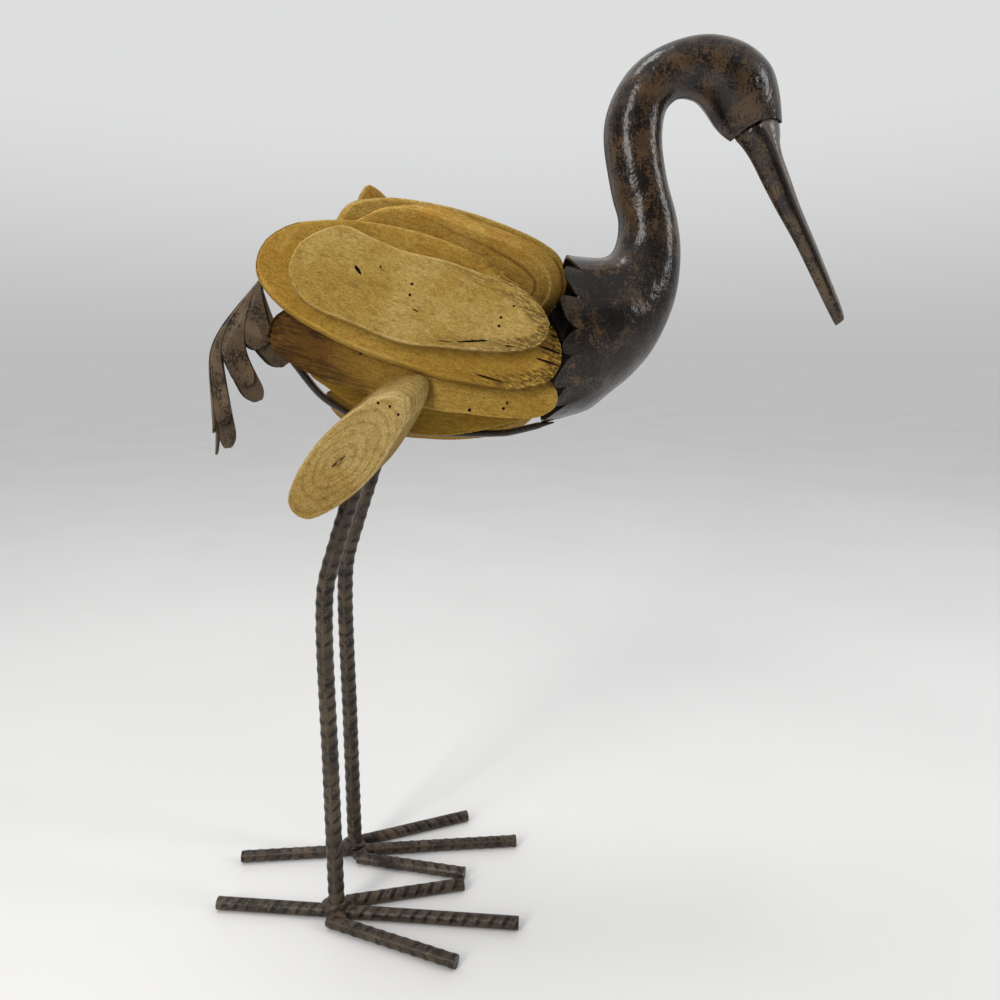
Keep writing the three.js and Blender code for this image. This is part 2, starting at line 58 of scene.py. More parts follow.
def place(x, y, z):
    """A point measured from the floor under the ankles, in millimetres, in the model's own frame."""
    return Vector(((x - ORIGIN_X) * MM, y * MM, z * MM))


# Work on one piece at a time
def choose(piece):
    if bpy.context.mode != "OBJECT":
        bpy.ops.object.mode_set(mode="OBJECT")
    bpy.ops.object.select_all(action="DESELECT")
    if piece:
        piece.select_set(True)
        bpy.context.view_layer.objects.active = piece


def start(make, name, **settings):
    """Makes a plain shape and names it."""
    choose(None)
    make(**settings)
    bpy.context.object.name = name
    return bpy.context.object


def edit(piece, kind="VERT"):
    """Opens the piece for editing, with all of it selected."""
    choose(piece)
    bpy.ops.object.mode_set(mode="EDIT")
    bpy.context.tool_settings.mesh_select_mode = (kind == "VERT", kind == "EDGE", kind == "FACE")
    bpy.ops.mesh.select_all(action="SELECT")


def pick(piece, parts, wanted):
    """Selects the verts or edges of the piece in edit mode for which wanted(part) is true."""
    bpy.ops.mesh.select_all(action="DESELECT")
    shape = bmesh.from_edit_mesh(piece.data)
    for part in getattr(shape, parts):
        part.select = bool(wanted(part))
    shape.select_flush_mode()
    bmesh.update_edit_mesh(piece.data)


def move_points(piece, spots):
    """Moves points of the piece in edit mode. Spots are pairs of a point's index and its place."""
    shape = bmesh.from_edit_mesh(piece.data)
    shape.verts.ensure_lookup_table()
    for index, spot in spots:
        shape.verts[index].co = spot
    bmesh.update_edit_mesh(piece.data)


def leave_edit(outward=False):
    if outward:
        bpy.ops.mesh.select_all(action="SELECT")
        bpy.ops.mesh.normals_make_consistent(inside=False)
    bpy.ops.object.mode_set(mode="OBJECT")


def finish_with(piece, kind, **settings):
    choose(piece)
    step = piece.modifiers.new(kind, kind)
    for name, value in settings.items():
        setattr(step, name, value)
    bpy.ops.object.modifier_apply(modifier=step.name)


def join(piece, *others):
    choose(piece)
    for other in others:
        other.select_set(True)
    bpy.ops.object.join()


def settle(piece):
    """Puts the piece's place into its mesh, so that its object sits at the origin."""
    choose(piece)
    bpy.ops.object.transform_apply(location=True, rotation=True, scale=True)


def set_material(piece, material):
    piece.data.materials.clear()
    piece.data.materials.append(material)


def shade_smooth(piece, degrees=35):
    choose(piece)
    bpy.ops.object.shade_smooth_by_angle(angle=math.radians(degrees))


def marks_on(piece, *labels):
    return {label: piece.data.attributes.new(label, "FLOAT", "POINT") for label in labels}


def hand_over(piece, slot, *nodes):
    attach(piece, "root")
    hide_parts(*nodes)


def complete(piece, material, slot, node, degrees=35):
    set_material(piece, material)
    shade_smooth(piece, degrees)
    hand_over(piece, slot, node)


# Rings swept along a line
Section = namedtuple("Section", "centre tilt half reach")


def smooth_line(points, t, even=True):
    """Point at t, from 0 to 1, on a smooth line through the points."""
    spans = len(points) - 1
    i = min(int(t * spans), spans - 1)
    w = t * spans - i
    b, c = points[i], points[i + 1]
    a = points[i - 1] if i > 0 else 2 * b - c
    d = points[i + 2] if i + 2 <= spans else 2 * c - b
    power = 0 if even else 0.5
    ab, bc, cd = [(q - p).length ** power for p, q in ((a, b), (b, c), (c, d))]
    start = ((b - a) / ab - (c - a) / (ab + bc) + (c - b) / bc) * bc
    end = ((c - b) / bc - (d - b) / (bc + cd) + (d - c) / cd) * bc
    square, cube = w * w, w * w * w
    return (b * (2 * cube - 3 * square + 1) + start * (cube - 2 * square + w)
            + c * (3 * square - 2 * cube) + end * (cube - square))


def closed_line(points, share):
    """Point at share, from 0 to 1, on a smooth closed line through the points."""
    padded = [points[-1], *points, points[0], points[1]]
    return smooth_line(padded, (1 + share * len(points)) / (len(points) + 2), even=False)


def station_section(stations, t):
    back = smooth_line([place(x, half, z) for x, z, _, _, half in stations], t)
    throat = smooth_line([place(x, half, z) for _, _, x, z, half in stations], t)
    rise = back - throat
    return Section(
        Vector(((back.x + throat.x) / 2, 0, (back.z + throat.z) / 2)),
        math.atan2(rise.x, rise.z), back.y, rise.length / 2,
    )


def on_section(section, across, along):
    """Place on a section: across and along run from -1 to 1 over its width and its height."""
    rise = along * section.reach
    offset = Vector((math.sin(section.tilt) * rise, across * section.half, math.cos(section.tilt) * rise))
    return section.centre + offset


def ring_at(name, section, corners):
    """An open ring, started as a circle and laid out on a section by its unit corners."""
    ring = start(bpy.ops.mesh.primitive_circle_add, name, vertices=len(corners), radius=section.reach)
    for vertex, (across, along) in zip(ring.data.vertices, corners):
        vertex.co = on_section(section, across, along)
    return ring


def folded_corner(degrees, power, ridge):
    """Corner of a section, from the back round to the left. Power 2 is round, and less folds it."""
    angle = math.radians(degrees)
    across = math.copysign(abs(math.sin(angle)) ** (2 / power), math.sin(angle))
    height = abs(math.cos(angle)) ** (2 / power)
    return across, ridge + (1 - ridge) * height if math.cos(angle) > 0 else ridge - (1 + ridge) * height


def tip_ring(centre, angle):
    bpy.ops.transform.rotate(value=-angle, orient_axis="Y", center_override=centre)


def sweep(ring, sections):
    """Extrudes the ring from section to section."""
    edit(ring)
    for old, new in pairwise(sections):
        bpy.ops.mesh.extrude_edges_move()
        tip_ring(old.centre, -old.tilt)
        growth = (1, new.half / old.half, new.reach / old.reach)
        bpy.ops.transform.resize(value=growth, center_override=old.centre)
        tip_ring(old.centre, new.tilt)
        bpy.ops.transform.translate(value=new.centre - old.centre)
    leave_edit()


# Node helpers for the finishes
def feed(tree, node, values):
    """Gives a node's inputs their values, or links them where the value is another node's output."""
    for socket, value in values.items():
        if isinstance(value, bpy.types.NodeSocket):
            tree.links.new(value, node.inputs[socket])
        else:
            node.inputs[socket].default_value = value


def add(tree, kind, values=None, **settings):
    made = tree.nodes.new("ShaderNode" + kind)
    for name, value in settings.items():
        setattr(made, name, value)
    feed(tree, made, values or {})
    return made


def attribute(tree, name):
    return add(tree, "Attribute", attribute_name=name).outputs["Fac"]


def math_node(tree, operation, first, second=0.0, clamp=False):
    return add(tree, "Math", {0: first, 1: second}, operation=operation, use_clamp=clamp).outputs[0]


def times(tree, *factors):
    return reduce(lambda product, factor: math_node(tree, "MULTIPLY", product, factor), factors)


def mix_colour(tree, amount, under, over, way="MIX"):
    made = add(tree, "Mix", {0: amount, 6: under, 7: over}, data_type="RGBA", blend_type=way)
    return made.outputs[2]


def tinted(tree, amount, colour, tint):
    return mix_colour(tree, amount, colour, mix_colour(tree, 1.0, colour, (*tint, 1), "MULTIPLY"))


def grain_noise(tree, where, scale, detail=2.0, roughness=0.5, distortion=0.0):
    return add(tree, "TexNoise", {
        "Vector": where, "Scale": scale, "Detail": detail, "Roughness": roughness, "Distortion": distortion,
    }).outputs["Fac"]


def band(tree, value, low, high, to_low=0.0, to_high=1.0):
    """Stretches low to high onto to_low to to_high, and stops there."""
    inputs = {"Value": value, "From Min": low, "From Max": high, "To Min": to_low, "To Max": to_high}
    return add(tree, "MapRange", inputs, clamp=True, interpolation_type="SMOOTHSTEP").outputs["Result"]


def stretched(tree, where, turn, scale):
    return add(tree, "Mapping", {"Vector": where, "Rotation": turn, "Scale": scale}).outputs[0]


def node_group(name, inputs, outputs):
    tree = bpy.data.node_groups.new(name, "ShaderNodeTree")
    for label, kind, value in inputs:
        socket = tree.interface.new_socket(label, in_out="INPUT", socket_type="NodeSocket" + kind)
        socket.default_value = value
    for label, kind in outputs:
        tree.interface.new_socket(label, in_out="OUTPUT", socket_type="NodeSocket" + kind)
    entry = tree.nodes.new("NodeGroupInput")
    leaving = tree.nodes.new("NodeGroupOutput")
    return tree, entry.outputs, leaving.inputs


def speckled_lacquer():
    """Brown lacquer rubbed over black: dark patches, broken up into fine specks and brushed scratches."""
    tree, given, result = node_group("speckled_lacquer", [
        ("Place", "Vector", (0, 0, 0)), ("Brown", "Color", (0.05, 0.03, 0.018, 1)),
        ("Ochre", "Color", (0.1, 0.058, 0.028, 1)), ("Black", "Color", (0.004, 0.003, 0.0025, 1)),
        ("Patches", "Float", 0.5), ("Specks", "Float", 0.5), ("Scratches", "Float", 0.5),
    ], [("Color", "Color"), ("Roughness", "Float"), ("Height", "Float"), ("Dents", "Float")])
    where = given["Place"]
    warm = band(tree, grain_noise(tree, where, 50, 5, 0.6, 0.4), 0.42, 0.62)
    colour = mix_colour(tree, warm, given["Brown"], given["Ochre"])
    cloud = grain_noise(tree, where, 80, 4, 0.62, 0.5)
    speck = grain_noise(tree, where, 900, 3, 0.75)
    brushed = stretched(tree, where, (0, 0.5, 0), (1100, 1100, 150))
    scratch = times(tree, grain_noise(tree, brushed, 1, 3, 0.66), given["Scratches"])
    specked = times(tree, speck, 0.7)
    level = math_node(tree, "ADD", times(tree, cloud, 0.7), specked)
    level = math_node(tree, "ADD", level, times(tree, scratch, 0.5))
    level = math_node(tree, "SUBTRACT", level, times(tree, given["Scratches"], 0.25))
    level = math_node(tree, "ADD", level, times(tree, given["Patches"], 0.1))
    black = times(tree, band(tree, level, 0.69, 0.75), given["Specks"])
    tree.links.new(mix_colour(tree, black, colour, given["Black"]), result["Color"])
    tree.links.new(band(tree, black, 0, 1, 0.28, 0.4), result["Roughness"])
    height = math_node(tree, "SUBTRACT", speck, times(tree, black, 0.5))
    tree.links.new(height, result["Height"])
    tree.links.new(grain_noise(tree, where, 150, 3, 0.6), result["Dents"])
    return tree


def branch_wood():
    """Sawn branch. The place comes in with the branch's heart along Z: rings lie round it, fibres along it.
    Edge is the distance from the rim of the sawn face in millimetres, and nothing off that face. Slope is
    how far its rounding has fallen, and End how near its frayed end is."""
    tree, given, result = node_group("branch_wood", [
        ("Place", "Vector", (0, 0, 0)),
        ("Edge", "Float", 10.0), ("Slope", "Float", 0.0), ("End", "Float", 0.0),
        ("Pale", "Color", (0.44, 0.31, 0.12, 1)), ("Gold", "Color", (0.36, 0.21, 0.05, 1)),
        ("Dark", "Color", (0.05, 0.028, 0.01, 1)), ("Rings", "Float", 0.1), ("Fibres", "Float", 0.3),
        ("Stains", "Float", 0.3), ("Fray", "Float", 0.0), ("Contour", "Float", 0.0),
        ("Aged", "Float", 0.0), ("Pith", "Float", 0.0),
    ], [("Color", "Color"), ("Roughness", "Float"), ("Height", "Float")])
    where = given["Place"]

    def along_fibres(thin, long, detail=3):
        return grain_noise(tree, stretched(tree, where, (0, 0, 0), (thin, thin, long)), 1, detail, 0.66)

    broad = band(tree, grain_noise(tree, where, 26, 6, 0.66), 0.42, 0.6)
    colour = mix_colour(tree, broad, given["Pale"], given["Gold"])
    flat = add(tree, "VectorMath", {0: where, 1: (1, 1, 0)}, operation="MULTIPLY").outputs[0]
    radius = add(tree, "VectorMath", {0: flat}, operation="LENGTH").outputs["Value"]
    turns = math_node(tree, "ADD", radius, times(tree, grain_noise(tree, where, 60, 3), 0.005))
    rings = band(tree, math_node(tree, "SINE", times(tree, turns, 1900)), 0.2, 1.0)
    colour = tinted(tree, times(tree, rings, given["Rings"]), colour, (0.72, 0.62, 0.5))
    fibre = along_fibres(1300, 90)
    lines = times(tree, band(tree, fibre, 0.47, 0.66), given["Fibres"])
    colour = tinted(tree, lines, colour, (0.5, 0.4, 0.28))
    mottle = along_fibres(520, 170, 5)
    colour = tinted(tree, band(tree, mottle, 0.5, 0.7, 0, 0.8), colour, (0.7, 0.62, 0.45))
    colour = tinted(tree, band(tree, mottle, 0.48, 0.33, 0, 0.6), colour, (1.18, 1.22, 1.45))
    fuzz = along_fibres(1700, 600)
    colour = tinted(tree, band(tree, fuzz, 0.5, 0.66, 0, 0.8), colour, (1.35, 1.38, 1.7))
    colour = tinted(tree, band(tree, fuzz, 0.5, 0.34, 0, 0.8), colour, (0.64, 0.58, 0.45))
    stain = band(tree, grain_noise(tree, where, 48, 6, 0.72, 0.5), 0.58, 0.72)
    colour = tinted(tree, times(tree, stain, given["Stains"]), colour, (0.42, 0.4, 0.42))

    frayed = times(tree, given["Fray"], given["End"], band(tree, given["Slope"], 0.02, 0.3))
    streaks = band(tree, along_fibres(900, 45), 0.45, 0.6)
    colour = tinted(tree, times(tree, frayed, streaks), colour, (0.42, 0.34, 0.22))
    deep = band(tree, along_fibres(420, 40), 0.6, 0.67)
    colour = mix_colour(tree, times(tree, frayed, deep), colour, given["Dark"])
    # Painted shadow: a dark line where the face's rounding falls off, towards its end.
    line = times(tree, band(tree, given["Slope"], 0.32, 0.14), band(tree, given["Slope"], 0.0, 0.1),
                 given["Contour"], given["End"])
    colour = tinted(tree, line, colour, (0.5, 0.36, 0.22))
    core = times(tree, band(tree, turns, 0.0042, 0.0032), given["Pith"])
    colour = tinted(tree, core, colour, (0.7, 0.68, 0.72))
    core_line = times(tree, core, band(tree, turns, 0.0026, 0.0036))
    colour = tinted(tree, core_line, colour, (0.5, 0.42, 0.34))
    # Painted shade: the slice grows darker towards its end, where it lies in the shadow of the pieces over
    # it.
    colour = tinted(tree, times(tree, given["Aged"], given["End"], given["End"]), colour, (0.36, 0.28, 0.18))
    # The sides off the sawn face turn browner and darker: partly their own weathered tone, partly painted
    # shade.
    colour = tinted(tree, band(tree, given["Edge"], 0.2, 0.0), colour, (0.76, 0.72, 0.6))
    # Painted highlight: a thin pale line just inside the rim of the sawn face.
    rim = times(tree, band(tree, given["Edge"], 1.6, 0.8), band(tree, given["Edge"], 0.05, 0.3), 0.7)
    colour = tinted(tree, rim, colour, (1.35, 1.42, 1.9))
    tree.links.new(colour, result["Color"])
    tree.links.new(band(tree, fuzz, 0.3, 0.7, 0.75, 0.95), result["Roughness"])
    height = math_node(tree, "ADD", times(tree, fibre, given["Fibres"]), fuzz)
    height = math_node(tree, "SUBTRACT", height, times(tree, frayed, streaks, 1.6))
    tree.links.new(height, result["Height"])
    return tree


LACQUER = speckled_lacquer()
WOOD = branch_wood()
SPECK_DEPTH = 0.00025
DENT_DEPTH = 0.0007
BAR_PITTING = 0.0002
FIBRE_DEPTH = 0.0004


def new_material(name):
    material = bpy.data.materials.new(name)
    material.use_nodes = True
    return material, material.node_tree, material.node_tree.nodes["Principled BSDF"]


def use_group(tree, group, values):
    return add(tree, "Group", values, node_tree=group).outputs


def bump(tree, shader, height, depth, socket="Normal"):
    made = add(tree, "Bump", {"Height": height, "Distance": depth})
    tree.links.new(made.outputs["Normal"], shader.inputs[socket])


def lacquer_material(name, values, coat=0.6, shade_heights=None):
    """Lacquered sheet. Given two heights, it grows blacker from the higher down to the lower: a painted
    shade.
    """
    material, tree, shader = new_material(name)
    where = add(tree, "TexCoord").outputs["Object"]
    if shade_heights:
        height = add(tree, "SeparateXYZ", {0: where}).outputs["Z"]
        values = {**values, "Patches": band(tree, height, *shade_heights, 0.75, values["Patches"])}
    painted = use_group(tree, LACQUER, {"Place": where, **values})
    feed(tree, shader, {
        "Base Color": painted["Color"], "Roughness": painted["Roughness"],
        "Specular IOR Level": 0.06, "Coat Weight": coat, "Coat Roughness": 0.2,
    })
    bump(tree, shader, painted["Height"], SPECK_DEPTH)
    bump(tree, shader, painted["Dents"], DENT_DEPTH, "Coat Normal")
    return material


# The neck's lacquer takes a painted shade that makes the breast blacker towards its bottom.
NECK_LACQUER = lacquer_material("neck_lacquer", {
    "Brown": (0.04, 0.024, 0.013, 1), "Ochre": (0.08, 0.046, 0.022, 1), "Patches": 0.12, "Specks": 0.95,
    "Scratches": 0.6,
}, shade_heights=(0.33, 0.42))
TAIL_LACQUER = lacquer_material("tail_lacquer", {
    "Brown": (0.09, 0.062, 0.038, 1), "Ochre": (0.135, 0.093, 0.056, 1), "Patches": -0.25, "Specks": 0.75,
    "Scratches": 0.3,
}, coat=0.1)
UNDER_LACQUER = lacquer_material("under_tail_lacquer", {
    "Brown": (0.08, 0.056, 0.036, 1), "Ochre": (0.1, 0.07, 0.045, 1), "Patches": -0.6, "Specks": 0.5,
    "Scratches": 0.1,
}, coat=0.15)
STRAP_LACQUER = lacquer_material("strap_lacquer", {
    "Brown": (0.03, 0.022, 0.016, 1), "Ochre": (0.05, 0.035, 0.024, 1), "Specks": 0.3,
})


def bar_material():
    """Ribbed bar: brown lacquer, rubbed on the ribs, with a short black dash beside each rib, partly lacquer
    gathered there and partly painted shadow of the rib.
    """
    material, tree, shader = new_material("ribbed_bar_lacquer")
    where = add(tree, "TexCoord").outputs["Object"]
    rib = attribute(tree, "rib")
    painted = use_group(tree, LACQUER, {
        "Place": where, "Brown": (0.051, 0.036, 0.023, 1), "Ochre": (0.086, 0.06, 0.036, 1),
        "Patches": -0.3, "Specks": 0.8, "Scratches": 0.3,
    })
    # Painted shadow, with lacquer gathered there too: a black dash on one side of each rib.
    valley = attribute(tree, "valley")
    patchy = band(tree, grain_noise(tree, where, 70, 3, 0.6), 0.36, 0.55, 0.35, 1.0)
    dash = times(tree, band(tree, valley, 0.1, 0.5), patchy)
    colour = mix_colour(tree, dash, painted["Color"], (0.007, 0.005, 0.004, 1))
    rubbed = band(tree, grain_noise(tree, where, 400, 3, 0.7), 0.42, 0.62)
    lightened = times(tree, band(tree, rib, 0.5, 1.0, 0, 0.7), rubbed)
    colour = mix_colour(tree, lightened, colour, (0.105, 0.08, 0.056, 1))
    feed(tree, shader, {
        "Base Color": colour, "Roughness": painted["Roughness"], "Specular IOR Level": 0.3,
    })
    bump(tree, shader, painted["Height"], BAR_PITTING)
    return material


BAR_LACQUER = bar_material()


def plain_material(name, colour, roughness, coat=0.0):
    material, tree, shader = new_material(name)
    feed(tree, shader, {
        "Base Color": (*colour, 1), "Roughness": roughness, "Coat Weight": coat, "Coat Roughness": 0.05,
    })
    return material


EYE_ENAMEL = plain_material("eye_enamel", (0.003, 0.002, 0.002), 0.3, 0.25)
# Painted shade for the inside of holes and cracks.
HOLE_SHADE = plain_material("dark_hollow", (0.02, 0.011, 0.005), 1.0)
# Inside of the pressed sheet: near black, partly its own dark lacquer and partly painted shade in the
# hollow.
SHEET_INSIDE_SHADE = plain_material("dark_inside_of_sheet", (0.006, 0.005, 0.004), 0.9)


# Breast, neck and head: stations from the tips of the breast's teeth to the beak, each with the line of the
# back and of the throat as x, z and the half width between them
SHELL_STATIONS = [
    (121, 384, 117.5, 292.9, 44.3), (132, 383, 131, 293.7, 41.5), (143, 382, 145, 298.7, 38.5),
    (150.5, 381.5, 159.5, 310.3, 34.5), (156, 382.5, 171, 320, 30.5), (159.5, 386, 183, 335, 25),
    (161.5, 393, 193, 359, 19.5), (161.5, 402, 195.3, 383, 17), (158.5, 411, 192.5, 402, 16),
    (155.5, 424, 186.8, 420, 15.5), (153, 438, 183.2, 438, 15), (153, 450, 183, 449, 15),
    (157, 463, 184.5, 456.5, 14.6), (165.5, 476, 188.5, 461, 14.6), (178, 485.3, 192.5, 462.5, 15),
    (193.5, 490.7, 196.8, 462.2, 15.6), (207, 491.8, 201.6, 460.4, 16.6), (219.8, 489.2, 206.2, 455.6, 17.6),
    (230.4, 483.9, 210.6, 449.3, 17.4), (238.9, 475.8, 214.2, 445.1, 16.2), (243.7, 464, 217.3, 442.6, 13.4),
    (245.9, 450.2, 219.7, 441.1, 9.7),
]
SHELL_RINGS = 60
ROUND_POWER = 2
FOLD_POWER = 1.55
FOLDED_STATIONS = 3
RIDGE_ROOT = -0.05
LIP_DROOP = 3.5
LIP_THICKNESS = 0.35

# Teeth round the open breast on the right side, from the top to the bottom. Each begins at its upper notch,
# and its points are a direction in degrees and a distance from the mouth in stations.
TEETH = [
    [(0, 0.13), (15, 0.19), (30, 0.35)],
    [(39.7, 0.73), (37.3, 0.4), (34.8, 0.11), (35.3, -0.04), (37.6, -0.1), (42.2, -0.17), (50.5, 0),
     (57.7, 0.24)],
    [(64, 0.46), (62.6, 0.1), (61.8, -0.25), (62.4, -0.33), (67.7, -0.3), (73.9, -0.19), (78.8, 0),
     (82.4, 0.23)],
    [(84.6, 0.44), (86.4, 0.19), (90, -0.06), (93.3, -0.2), (97, -0.2), (101.3, -0.08)],
    [(101.3, 0.27), (105.2, -0.02), (111.1, -0.27), (117.4, -0.44), (122.5, -0.5), (124.1, -0.3)],
    [(123.4, 0.05), (130.8, -0.24), (137.5, -0.4), (140.8, -0.42), (140.8, -0.23)],
    [(140.4, 0.12), (146, -0.19), (154.9, -0.49), (166, -0.66)],
    [(180, -0.74)],
]
LEFT_EXTRA = 0.55
FURTHEST = -0.95
SEAM_HALF_WIDTH = 1.0
SEAM_HEIGHT = 0.75
EYE = {"x": 227.3, "z": 464.2, "side": 16.2, "radius": 3.0}


def mouth_points():
    """Points round the mouth: direction of the sheet behind, own direction, distance, and if notched."""
    right = []
    for tooth, following in pairwise(TEETH):
        start, end = tooth[0][0], following[0][0]
        for k, (tip, distance) in enumerate(tooth):
            right.append((start + (end - start) * k / len(tooth), tip, distance, k == 0))
    right.append((180, 180, TEETH[-1][0][1], True))
    left = []
    for body, tip, distance, notched in right:
        further = max(FURTHEST, distance - LEFT_EXTRA * math.sin(math.radians(body)))
        left.append((body, tip, further, notched))
    mirrored = [(-body, -tip, distance, notched) for body, tip, distance, notched in reversed(right[1:-1])]
    return left + mirrored


def shell_corner(t, degrees):
    """Place on the shell at t, from 0 to 1, where the head's front end is folded like the beak."""
    station = 1 / (len(SHELL_STATIONS) - 1)
    folded = max(0, 1 - (1 - t) / (FOLDED_STATIONS * station))
    power = ROUND_POWER + folded * (FOLD_POWER - ROUND_POWER)
    across, along = folded_corner(degrees, power, folded * RIDGE_ROOT)
    spot = on_section(station_section(SHELL_STATIONS, t), across, along)
    spot.z += LIP_DROOP * MM * folded ** 3 * (1 - along ** 2)
    return spot


def neck_shell():
    station = 1 / (len(SHELL_STATIONS) - 1)
    around = mouth_points()
    rings = [1.2 * station] + [(2 + (len(SHELL_STATIONS) - 3) * k / SHELL_RINGS) * station
                               for k in range(SHELL_RINGS + 1)]
    sections = [station_section(SHELL_STATIONS, t) for t in rings]
    corners = [folded_corner(body, ROUND_POWER, 0) for body, _, _, _ in around]
    shell = ring_at("neck_breast_and_head", sections[0], corners)
    sweep(shell, sections)
    edit(shell)
    move_points(shell, [(i, shell_corner((1 + distance) * station, tip))
                        for i, (_, tip, distance, _) in enumerate(around)])
    move_points(shell, [(ring * len(around) + i, shell_corner(t, body))
                        for ring, t in enumerate(rings) if t > 1 - FOLDED_STATIONS * station
                        for i, (body, _, _, _) in enumerate(around)])
    pick(shell, "verts", lambda point: point.index < len(around) and around[point.index][3])
    bpy.ops.transform.vert_crease(value=1.0)
    leave_edit(outward=True)
    thickness = shell.vertex_groups.new(name="thickness")
    last_ring = len(rings) * len(around)
    thickness.add(list(range(last_ring)), 1.0, "REPLACE")
    thickness.add(list(range(last_ring - len(around), last_ring)), LIP_THICKNESS, "REPLACE")
    raise_seams(shell)
    set_material(shell, NECK_LACQUER)
    shell.data.materials.append(SHEET_INSIDE_SHADE)
    finish_with(shell, "SUBSURF", levels=1, render_levels=1)
    finish_with(shell, "SOLIDIFY", thickness=SHEET * MM, offset=-1, use_even_offset=True,
                vertex_group="thickness", material_offset=1)
    shade_smooth(shell)
    join(shell, *[eye_bead(side) for side in (-1, 1)])
    hand_over(shell, "dark_lacquered_sheet", "breast_neck_and_head")


def raise_seams(shell):
    """The two pressed halves meet in a low welded ridge along the back and the throat."""
    edit(shell, "EDGE")
    pick(shell, "edges", lambda edge: all(in_middle(point) for point in edge.verts))
    bpy.ops.mesh.bevel(offset=SEAM_HALF_WIDTH * MM, segments=2, affect="EDGES")
    pick(shell, "verts", in_middle)
    bpy.ops.transform.shrink_fatten(value=SEAM_HEIGHT * MM)
    leave_edit(outward=True)


def in_middle(point):
    return abs(point.co.y) < 0.01 * MM


def eye_bead(side):
    centre = place(EYE["x"], side * EYE["side"], EYE["z"])
    bead = start(bpy.ops.mesh.primitive_uv_sphere_add, "eye_bead", segments=32, ring_count=20,
                 radius=EYE["radius"] * MM, location=centre)
    settle(bead)
    set_material(bead, EYE_ENAMEL)
    shade_smooth(bead, 60)
    return bead


# Beak: stations like the head's. Its side ridges start level with its middle and soon run close to its back,
# with a groove beside each. The corners are counted round from the back.
BEAK_STATIONS = [
    (243.2, 454, 223.4, 447.3, 7.6), (244.8, 449.6, 221.5, 442.7, 8.9), (245.5, 444.2, 225.6, 438.2, 8.7),
    (245.6, 439.6, 230, 432.6, 8.0), (247.3, 433.4, 234.2, 425.8, 6.9), (251.5, 424.2, 238.6, 418.2, 6.4),
    (258.3, 408.8, 246.6, 405.4, 5.7), (266.8, 392.3, 257.3, 389.2, 4.9), (275.5, 375.1, 267.3, 372, 4.2),
    (283.4, 359.3, 276.2, 356.6, 3.5), (286.9, 351, 281.8, 347.4, 2.6),
    (286.1, 348.8, 283.1, 346.2, 1.5),
]
BEAK_RINGS = 44
BEAK_CORNERS = 24
FOLD_CORNERS = (6, 12, 18)
RIDGE_DOWN = 0.42
RIDGE_RISE = 0.35
GROOVE_CORNERS = (7, 17)
GROOVE_DEPTH = 0.9
GROOVE_END_RINGS = 6


def beak_cone():
    steps = [k / BEAK_RINGS for k in range(BEAK_RINGS + 1)]
    sections = [station_section(BEAK_STATIONS, t) for t in steps]
    turns = [360 * k / BEAK_CORNERS for k in range(BEAK_CORNERS)]
    beak = ring_at("beak_cone", sections[0], [folded_corner(turn, FOLD_POWER, RIDGE_ROOT) for turn in turns])
    sweep(beak, sections)
    edit(beak)
    spots = []
    for ring, (t, section) in enumerate(zip(steps, sections)):
        ridge = RIDGE_ROOT + (RIDGE_DOWN - RIDGE_ROOT) * min(1, t / RIDGE_RISE)
        for k, turn in enumerate(turns):
            across, along = folded_corner(turn, FOLD_POWER, ridge)
            if k in GROOVE_CORNERS:
                across -= math.copysign(GROOVE_DEPTH * MM / section.half, across) * groove_share(ring)
            spots.append((ring * BEAK_CORNERS + k, on_section(section, across, along)))
    move_points(beak, spots)
    pick(beak, "verts", lambda point: point.index >= BEAK_RINGS * BEAK_CORNERS)
    bpy.ops.mesh.edge_face_add()
    bpy.ops.mesh.inset(thickness=0.5 * MM)
    pick(beak, "edges", on_fold)
    bpy.ops.transform.edge_crease(value=0.8)
    leave_edit(outward=True)
    # The bevel mark places a painted sheen, and the groove mark a painted shade.
    marks = marks_on(beak, "bevel", "groove")
    for vertex in beak.data.vertices:
        ring, k = divmod(vertex.index, BEAK_CORNERS)
        marks["bevel"].data[vertex.index].value = k < GROOVE_CORNERS[0] or k > GROOVE_CORNERS[1]
        marks["groove"].data[vertex.index].value = groove_share(ring) if k in GROOVE_CORNERS else 0
    finish_with(beak, "SUBSURF", levels=2, render_levels=2)
    finish_with(beak, "SOLIDIFY", thickness=SHEET * MM, offset=-1)
    complete(beak, beak_material(), "dark_lacquered_sheet", "beak")


def groove_share(ring):
    """How deep the grooves are, from 0 to 1: they run out before the beak's tip."""
    return min(1, max(0, (BEAK_RINGS - GROOVE_END_RINGS - ring) / GROOVE_END_RINGS))


def beak_material():
    """The beak's lacquer, pale on the bevel along its back with a painted sheen, and black in the grooves
    with painted shade.
    """
    material = lacquer_material("beak_lacquer", {
        "Brown": (0.055, 0.036, 0.021, 1), "Ochre": (0.09, 0.058, 0.03, 1), "Patches": 0.0, "Specks": 0.85,
        "Scratches": 0.6,
    })
    tree = material.node_tree
    shader = tree.nodes["Principled BSDF"]
    painted = shader.inputs["Base Color"].links[0].from_socket
    bevel = attribute(tree, "bevel")
    groove = attribute(tree, "groove")
    # Painted highlight: the bevel along the back is made paler, as if it caught the light.
    lightened = times(tree, band(tree, bevel, 0.5, 1.0), 0.75)
    colour = mix_colour(tree, lightened, painted, (0.13, 0.11, 0.095, 1))
    # Painted shade: the grooves beside the ridges are made black.
    colour = mix_colour(tree, band(tree, groove, 0.1, 0.6), colour, (0.004, 0.003, 0.0025, 1))
    tree.links.new(colour, shader.inputs["Base Color"])
    return material


def on_fold(edge):
    """Whether an edge runs along one of the beak's two ridges or its lower fold."""
    first, second = (point.index % BEAK_CORNERS for point in edge.verts)
    return first == second and first in FOLD_CORNERS


